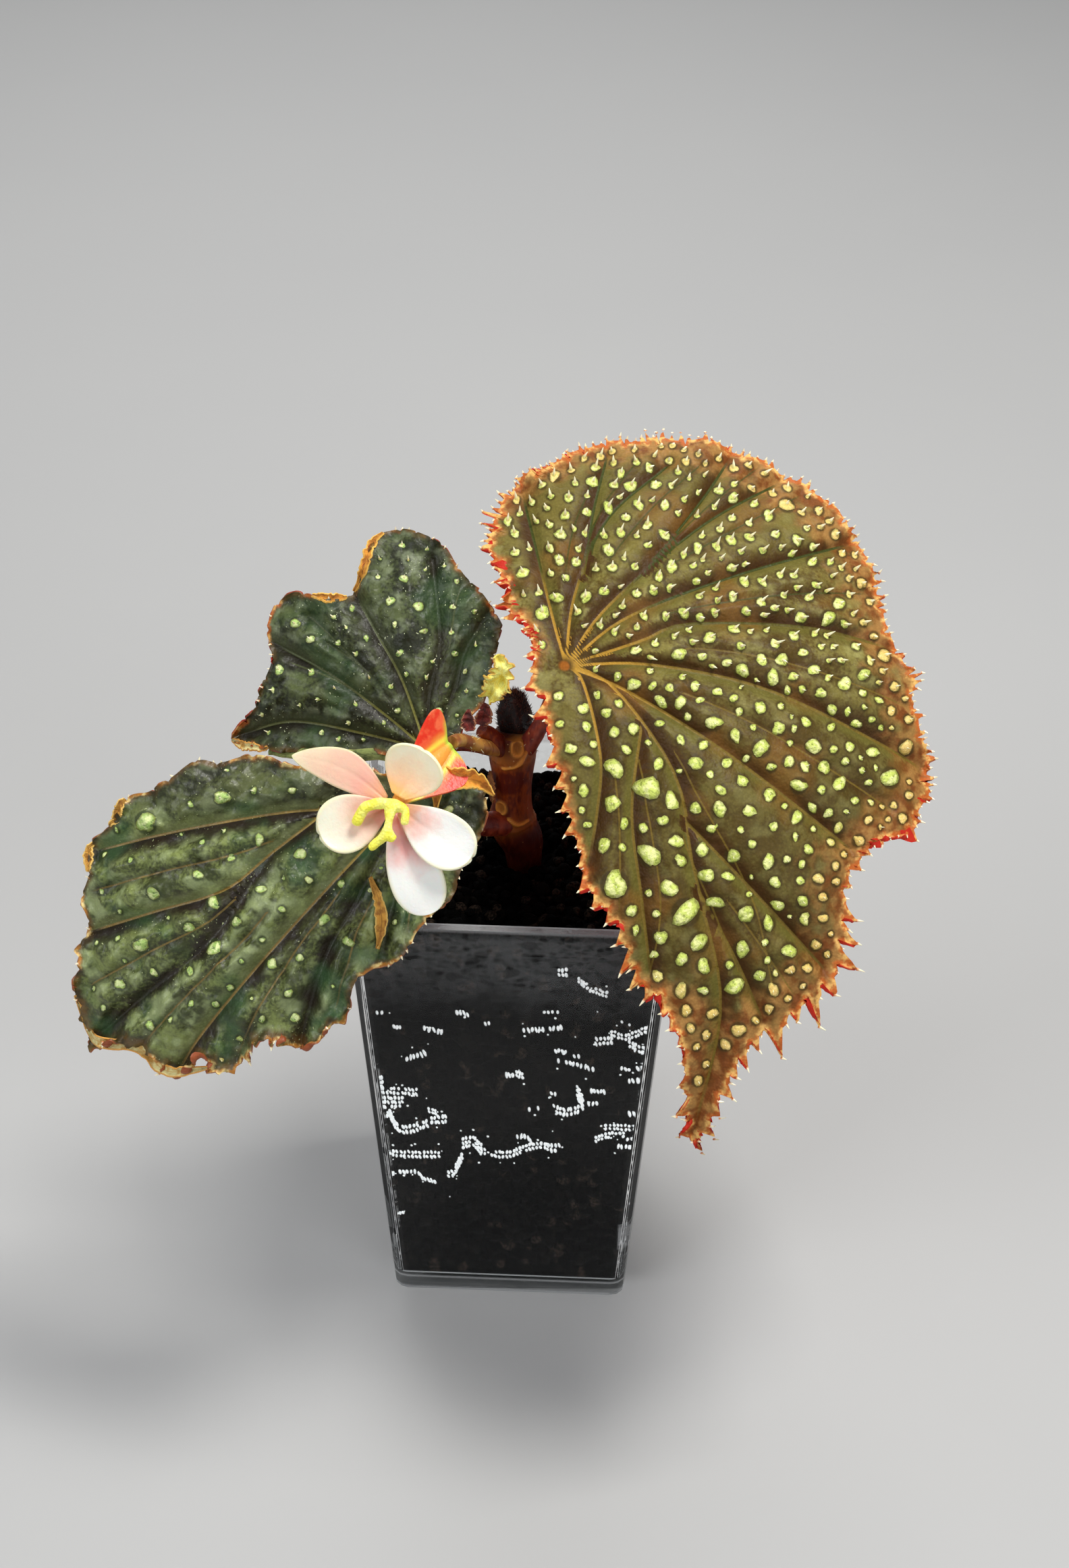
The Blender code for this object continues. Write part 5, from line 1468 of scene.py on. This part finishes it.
def make_dried_bits():
    """Stipules, bracts and the torn, dried parts of the left leaves' edges."""
    red = dry_finish("dried_red", (0.05, 0.006, 0.004), (0.20, 0.022, 0.014), (0.45, 0.20, 0.10))
    yellow = dry_finish("dried_yellow", (0.90, 0.74, 0.10), (0.96, 0.95, 0.28), (0.66, 0.36, 0.05))
    tan = dry_finish("dried_tan", (0.30, 0.11, 0.015), (0.74, 0.38, 0.06), (0.84, 0.54, 0.14))
    membrane = dry_finish("dried_sheath", (0.22, 0.07, 0.018), (0.44, 0.17, 0.045), (0.62, 0.30, 0.09))
    strip("stipule_red_scrap", "stipule_red", [(-6.6, -3.2, 131.6), (-6.0, -3.2, 133.6), (-5.6, -3.0, 136.4)],
          [1.2, 1.7, 1.5, 0.5], TOWARDS_VIEWER, red, ["stipule_red"],
          ragged=0.5, crumple=0.3, cup=0.25, groove=0.03, seed=1)
    strip("stipule_withered_scrap", "stipule_withered",
          [(-5.2, -3.0, 137.0), (-3.8, -3.4, 140.0), (-2.6, -3.0, 143.5), (-3.4, -2.6, 146.5)],
          [1.0, 2.7, 3.1, 2.4, 0.8], TOWARDS_VIEWER, yellow, ["stipule_withered"],
          ragged=0.6, crumple=0.8, cup=0.3, groove=0.0, seed=2)
    strip("stipule_stem_scrap", "bract_tan", [(-4.6, -3.1, 113.6), (-4.7, -3.2, 117.5), (-4.9, -3.3, 121.0)],
          [0.4, 1.3, 1.0, 0.3], (-0.76, -0.65, 0), membrane, ["stipule_stem"],
          ragged=0.5, crumple=0.12, cup=0.1, groove=0.02, seed=3)
    strip("bract_peduncle_scrap", "stipule_red",
          [(-8.0, -10.2, 135.4), (-8.4, -9.4, 137.0), (-8.4, -8.4, 138.8)],
          [0.9, 1.5, 1.1, 0.2], TOWARDS_VIEWER, red, ["bract_peduncle"],
          ragged=0.4, crumple=0.25, cup=0.3, groove=0.03, seed=4)
    lower, upper = LEAF_LOWER_LEFT, LEAF_UPPER_LEFT
    lying = lower.surface(np.array([(-3.7, -13.1), (-2.5, -16.5), (-2.0, -20.5), (-2.3, -25.0)]), 0.9)[0]
    strip("bract_dry_scrap", "bract_tan", lying, [0.2, 0.8, 1.2, 1.0, 0.1], lower.matrix[:3, 2],
          tan, ["bract_dry"], ragged=0.35, crumple=0.2, cup=0.45, groove=0.03, seed=5)
    curl = np.array([(6.3, 0.6), (6.7, 2.8), (8.0, 4.6), (10.0, 5.4), (12.0, 4.4), (14.2, 3.4)])
    rise = np.array([[0.6], [2.6], [4.4], [5.0], [4.0], [2.6]])
    orange = dry_finish("dried_orange", (0.50, 0.17, 0.02), (0.86, 0.38, 0.045), (0.86, 0.50, 0.09))
    strip("lobe_curl_scrap", "bract_tan", lower.surface(curl, rise)[0], [0.3, 1.4, 2.0, 2.1, 1.3, 0.1],
          lower.matrix[:3, 2], orange, (), ragged=0.4, crumple=0.25, cup=0.55, groove=0.0, seed=6)
    cream = dry_finish("dried_cream", (0.62, 0.34, 0.07), (0.88, 0.80, 0.38), (0.66, 0.30, 0.05))
    strip("margin_cream_scrap", "bract_tan", lower.edge_run((-57, -40), (-30, -50)),
          [0.1, 0.8, 1.1, 1.0, 1.0, 0.9, 0.5, 0.1], lower.matrix[:3, 2], cream, (),
          ragged=0.45, crumple=0.25, cup=0.5, groove=0.0, seed=7)
    green = dry_finish("pale_rib", (0.09, 0.12, 0.03), (0.24, 0.29, 0.08), (0.34, 0.36, 0.12))
    strip("leaf_upper_left_rib", "leaf_dark_green", upper.edge_run((-29, -1.9), (2, -1)),
          [0.2, 0.9, 1.2, 1.4, 1.4, 1.2], upper.matrix[:3, 2], green, (),
          ragged=0.15, crumple=0.15, cup=-0.35, groove=0.0, seed=15)
    for index, (leaf, start, end, finish) in enumerate((
            (upper, (-12.5, 39), (-16.5, 28), orange), (upper, (-17.5, 26.5), (-24, 25.5), orange),
            (upper, (-37.5, -1), (-30, -1.9), cream), (lower, (-50, -4.5), (-53.2, -8.5), tan),
            (lower, (-55, -12), (-57, -17.5), tan))):
        strip(f"edge_scrap_{index + 1}", "bract_tan", leaf.edge_run(start, end), [0.2, 0.8, 0.9, 0.2],
              leaf.matrix[:3, 2], finish, (), ragged=0.6, crumple=0.3, cup=0.5, groove=0.0, seed=8 + index)


# Soil, pot and drops

def pot_half(height):
    """Half of the pot's outer width at a height."""
    return (POT_FOOT + (POT_TOP - POT_FOOT) * height / POT_HEIGHT) / 2


def make_soil():
    """The block of granules: each stands out a little from the joints around it, on the top and the sides."""
    soil = primitive("soil_block", bpy.ops.mesh.primitive_cube_add, size=2 * MM)
    bpy.ops.object.mode_set(mode="EDIT")
    bpy.ops.mesh.select_all(action="SELECT")
    bpy.ops.mesh.subdivide(number_cuts=SOIL_CUTS)
    bpy.ops.object.mode_set(mode="OBJECT")
    cube = points_of(soil)
    z = SOIL_BOTTOM + (SOIL_TOP - SOIL_BOTTOM) * (cube[:, 2] + 1) / 2
    half = pot_half(z) - POT_WALL - SOIL_CLEARANCE
    points = np.column_stack([cube[:, 0] * half, cube[:, 1] * half, z])
    draw = np.random.default_rng(SEED + 6)
    inward = np.array([0, 0, (SOIL_TOP + SOIL_BOTTOM) / 2]) - points
    inward *= (np.abs(cube) > ON_FACE)
    inward /= np.maximum(np.linalg.norm(inward, axis=1), 1e-6)[:, None]
    low, high = points.min(0) - GRANULE, points.max(0) + GRANULE
    counts = np.ceil((high - low) / GRANULE).astype(int)
    lattice = np.stack(np.meshgrid(*[np.arange(n) for n in counts], indexing="ij"), -1).reshape(-1, 3)
    seeds = low + (lattice + draw.uniform(0, 1, lattice.shape)) * GRANULE
    shell = np.max(np.abs(seeds[:, :2]), axis=1) > pot_half(0) - GRANULE_SHELL
    seeds = seeds[shell | (seeds[:, 2] > SOIL_TOP - GRANULE_LAYER)]
    tones = draw.random(len(seeds))
    tree = indexed(seeds)
    found = [tree.find_n(point, 2) for point in points]
    nearest = np.array([near[2] for near, _ in found])
    gap = np.array([far[2] - near[2] for near, far in found])
    tone = tones[[near[1] for near, _ in found]]
    sunk = 1.3 * smooth(nearest, 0.4, 2.1) * (0.4 + 0.6 * tone) + 0.5 * smooth(gap, 0.7, 0.0)
    on_top = cube[:, 2] > ON_FACE
    near_edge = np.minimum(np.sort(np.abs(cube), axis=1)[:, 1], 1)
    beside = sunk * (1 - 0.85 * smooth(near_edge, 0.93, 1.0)) * smooth(points[:, 2], 4.0, 8.0)
    sunk = np.where(on_top, sunk - 0.9, beside)
    from_stem = np.hypot(points[:, 0] - TRUNK[0][0], points[:, 1] - TRUNK[0][1])
    sunk = sunk + on_top * 2.0 * smooth(from_stem, 6.5, 3.5)
    move_points(soil, points + inward * sunk[:, None])
    mark(soil, tone=tone, valley=gap)
    finished(soil, "soil", soil_finish(), "soil", sharp=40)
    make_granules(draw)


def make_granules(draw):
    """Loose granules on top of the soil, clear of the stem and of each other."""
    template, ball = ball_piece("granule", 9, 6)
    reach = pot_half(SOIL_TOP) - POT_WALL - 2.5
    kept = []
    for x, y in draw.uniform(-reach, reach, (900, 2)):
        if math.hypot(x - TRUNK[0][0], y - TRUNK[0][1]) < 6.0 or len(kept) == LOOSE_GRANULES:
            continue
        if kept and np.min(np.hypot(*(np.array(kept) - (x, y)).T)) < 1.9:
            continue
        kept.append((x, y))
    places, tones = [], []
    for x, y in kept:
        size = draw.uniform(0.7, 1.5)
        squash = draw.uniform(0.65, 1.1, 3)
        lump = 1 + 0.16 * ripple(ball, 1.6, draw, 12)
        places.append((x, y, SOIL_TOP + 0.5 + 0.2 * size) + ball * lump[:, None] * squash * size)
        tones.append(np.full(len(ball), draw.random()))
    granules = copies("granules", template, np.array(places))
    mark(granules, tone=np.concatenate(tones), valley=np.ones(len(ball) * len(kept)))
    finished(granules, "soil", bpy.data.materials["dark_granules"])


# Chains of drops on the inside of the front wall: the height of each chain and its route, in pixels of the
# photograph
FRONT_CHAINS = [
    (20, [(547, 1590), (566, 1600)]), (12, [(548, 1617), (575, 1613), (618, 1615)]),
    (18, [(549, 1630), (597, 1630)]), (8, [(548, 1648), (575, 1650)]),
    (14, [(575, 1640), (587, 1664), (603, 1671), (633, 1662)]), (10, [(636, 1642), (646, 1645)]),
    (14, [(640, 1657), (661, 1655)]),
    (12, [(552, 1681), (569, 1685), (581, 1704), (612, 1707), (651, 1708)]),
    (10, [(558, 1707), (566, 1719)]), (9, [(558, 1736), (584, 1736)]),
    (8, [(593, 1733), (618, 1734), (627, 1743), (645, 1748)]), (10, [(563, 1764), (572, 1766)]),
    (11, [(568, 1788), (579, 1796)]), (6, [(589, 1794), (597, 1794)]), (7, [(565, 1803), (582, 1811)]),
    (13, [(665, 1737), (673, 1734), (685, 1710)]), (18, [(687, 1691), (701, 1688), (713, 1700)]),
    (12, [(713, 1702), (746, 1708), (765, 1704), (786, 1696), (802, 1694), (812, 1697)]),
    (16, [(812, 1698), (828, 1698)]), (9, [(766, 1681), (780, 1682), (789, 1691)]),
    (13, [(884, 1541), (907, 1538)]), (10, [(906, 1528), (927, 1534), (942, 1529), (961, 1521)]),
    (12, [(933, 1544), (949, 1552), (970, 1554)]), (7, [(823, 1554), (838, 1555)]),
    (7, [(851, 1563), (864, 1563)]), (8, [(828, 1569), (851, 1574), (878, 1581)]),
    (6, [(922, 1580), (933, 1583)]), (8, [(945, 1581), (968, 1575)]), (9, [(932, 1599), (956, 1596)]),
    (9, [(948, 1615), (962, 1618)]), (7, [(806, 1615), (823, 1619)]), (18, [(856, 1614), (864, 1634)]),
    (8, [(876, 1613), (896, 1615)]), (8, [(872, 1632), (884, 1632)]), (8, [(785, 1641), (798, 1639)]),
    (14, [(821, 1639), (838, 1645), (857, 1641)]), (9, [(933, 1648), (957, 1650)]),
    (10, [(898, 1667), (944, 1668)]), (10, [(883, 1685), (902, 1679), (924, 1679)]),
    (9, [(916, 1696), (939, 1697)]), (6, [(930, 1685), (951, 1682)]), (12, [(828, 1438), (840, 1438)]),
    (10, [(858, 1450), (875, 1462), (899, 1471)]), (8, [(777, 1523), (801, 1523), (832, 1520)]),
    (5, [(806, 1497), (826, 1497)]), (5, [(921, 1512), (933, 1515)]), (8, [(678, 1498), (693, 1500)]),
    (6, [(560, 1498), (567, 1498)]), (6, [(584, 1518), (593, 1520)]), (8, [(630, 1521), (655, 1526)]),
    (6, [(719, 1514), (731, 1512)]), (9, [(603, 1566), (630, 1558)]), (9, [(750, 1590), (759, 1590)]),
    (10, [(766, 1588), (774, 1592)]),
]
PIXELS_A_MM = 4.8

# Drops: chains on each other wall, the step from row to row and from drop to drop, a drop's thickness and its
# place inside the wall, the share of drops that are missing, and the same for the stray drops beside a chain
SIDE_CHAINS = 22
DROP_ROW = 1.35
DROP_STEP = 0.74
DROP_THICKNESS = 0.17
DROP_INSET = 0.22
MISSING_DROPS = 0.07
MISSING_STRAYS = 0.6


def camera_axes():
    """The camera's place, and its directions to the right, up and back."""
    back, level = (np.array(direction) for direction in heading(CAMERA_TURN, CAMERA_RISE))
    upright = np.cross(back, level)
    roll = math.radians(CAMERA_ROLL)
    right = math.cos(roll) * level + math.sin(roll) * upright
    up = math.cos(roll) * upright - math.sin(roll) * level
    return np.array(CAMERA_TARGET) + back * CAMERA_REACH, right, up, back


def on_front_wall(pixel, depth):
    """Where the camera's ray through a pixel of the photograph meets a plane behind the front wall's face."""
    place, right, up, back = camera_axes()
    ray = right * (pixel[0] - IMAGE_WIDTH / 2) / FOCAL_PIXELS
    ray = ray + up * (IMAGE_HEIGHT / 2 - pixel[1]) / FOCAL_PIXELS - back
    slope = (POT_TOP - POT_FOOT) / POT_HEIGHT / 2
    reach = -(POT_FOOT / 2 - depth + slope * place[2] + place[1]) / (ray[1] + slope * ray[2])
    return place + ray * reach


def make_drops():
    """Chains of condensation drops between the wall and the granules, on all four sides."""
    draw = np.random.default_rng(SEED + 7)
    depth = POT_WALL + DROP_INSET
    template, ball = ball_piece("drop", 8, 5)
    chains = []
    for height, pixels in FRONT_CHAINS:
        route = np.array([on_front_wall(pixel, depth) for pixel in pixels])
        chains.append((0, height / PIXELS_A_MM, route[:, (0, 2)]))
    for side in (1, 2, 3):
        for _ in range(SIDE_CHAINS):
            start = draw.uniform(-20, 14), draw.uniform(14, 84)
            run = np.cumsum(draw.uniform((1.0, -1.6), (3.2, 1.6), (int(draw.integers(2, 5)), 2)), axis=0)
            chains.append((side, draw.uniform(0.7, 1.6), np.vstack([start, run + start])))
    places = []
    for side, height, route in chains:
        rows = max(1, round(height / DROP_ROW))
        length = np.linalg.norm(np.diff(route, axis=0), axis=1).sum()
        for x, z in spline(route, max(2, round(length / DROP_STEP))):
            for row in range(rows + 1):
                stray = row == rows
                if draw.random() < (MISSING_STRAYS if stray else MISSING_DROPS):
                    continue
                tall = height / rows / 2 * draw.uniform(0.75, 1.05)
                wide = draw.uniform(0.25, 0.34)
                lean = draw.uniform(-0.3, 0.1)
                up = (row + 0.5) * height / rows - height / 2 + draw.uniform(-0.16, 0.16)
                shift = draw.uniform(-0.12, 0.12)
                if stray:
                    tall = wide = draw.uniform(0.14, 0.28)
                    shift, up = draw.normal(0, 1.2), draw.normal(0, 0.5 * height + 0.8)
                shape = ball * (wide, DROP_THICKNESS, tall) + (x + shift, 0, z + up)
                shape[:, 0] += lean * ball[:, 2] * tall
                limit = pot_half(shape[:, 2]) - POT_WALL - 1.0
                along = np.clip(shape[:, 0], -limit, limit)
                out = shape[:, 1] - (pot_half(shape[:, 2]) - depth)
                turned = rotated(along, out, side * math.pi / 2)
                places.append(np.column_stack([*turned, shape[:, 2]]))
    drops = copies("wall_drops", template, np.array(places))
    finished(drops, "clear_plastic", highlight_drop_finish())


def make_pot(nodes):
    """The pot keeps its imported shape, in clear plastic."""
    pot = nodes["pot"]
    pot.data.materials.clear()
    pot.data.materials.append(plastic_finish())


# Setting

def make_setting():
    """A pale floor, soft lamps and the camera."""
    floor = primitive("floor", bpy.ops.mesh.primitive_plane_add, size=6)
    f = Finish("pale_floor")
    tone = f.mix((0.42, 0.42, 0.42), (0.45, 0.45, 0.445), f.noise(200, 3))
    floor.data.materials.append(f.shade(Base_Color=tone, Roughness=0.6 + f.noise(20) * 0.1))
    world = bpy.data.worlds.new("studio")
    bpy.context.scene.world = world
    world.use_nodes = True
    sky = world.node_tree.nodes["Background"]
    sky.inputs["Color"].default_value = (0.88, 0.91, 0.95, 1)
    sky.inputs["Strength"].default_value = 0.26
    target = Vector((0, 0, 0.12))
    for name, place, size, watts, tint in (
            ("key", (0.28, 0.06, 0.98), 0.26, 7.8, (1.0, 0.98, 0.94)),
            ("fill", (-0.66, -0.42, 0.60), 0.50, 3.8, (0.97, 0.98, 1.0)),
            ("front", (0.52, -0.62, 0.50), 0.50, 2.3, (0.98, 0.99, 1.0)),
            ("rear", (-0.15, 0.75, 0.60), 0.50, 2.0, (1.0, 1.0, 1.0))):
        lamp = bpy.data.lights.new(name, "AREA")
        lamp.size = size
        lamp.energy = watts
        lamp.color = tint
        holder = bpy.data.objects.new(name, lamp)
        bpy.context.scene.collection.objects.link(holder)
        holder.location = place
        holder.rotation_euler = (target - Vector(place)).to_track_quat("-Z", "Y").to_euler()
    lens = bpy.data.cameras.new("camera")
    lens.sensor_width = SENSOR
    lens.lens = FOCAL_PIXELS / IMAGE_HEIGHT * SENSOR
    lens.clip_start = 0.02
    camera = bpy.data.objects.new("camera", lens)
    bpy.context.scene.collection.objects.link(camera)
    place, right, up, back = camera_axes()
    turned = Matrix((right, up, back)).transposed()
    camera.matrix_world = Matrix.Translation(Vector(place) * MM) @ turned.to_4x4()
    bpy.context.scene.camera = camera
    bpy.context.scene.view_settings.view_transform = "Standard"


def main():
    make_setting()
    make_leaves()
    make_stem()
    make_bud()
    make_stalks()
    make_flower()
    make_dried_bits()
    make_soil()
    make_drops()
    make_pot(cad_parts)


main()
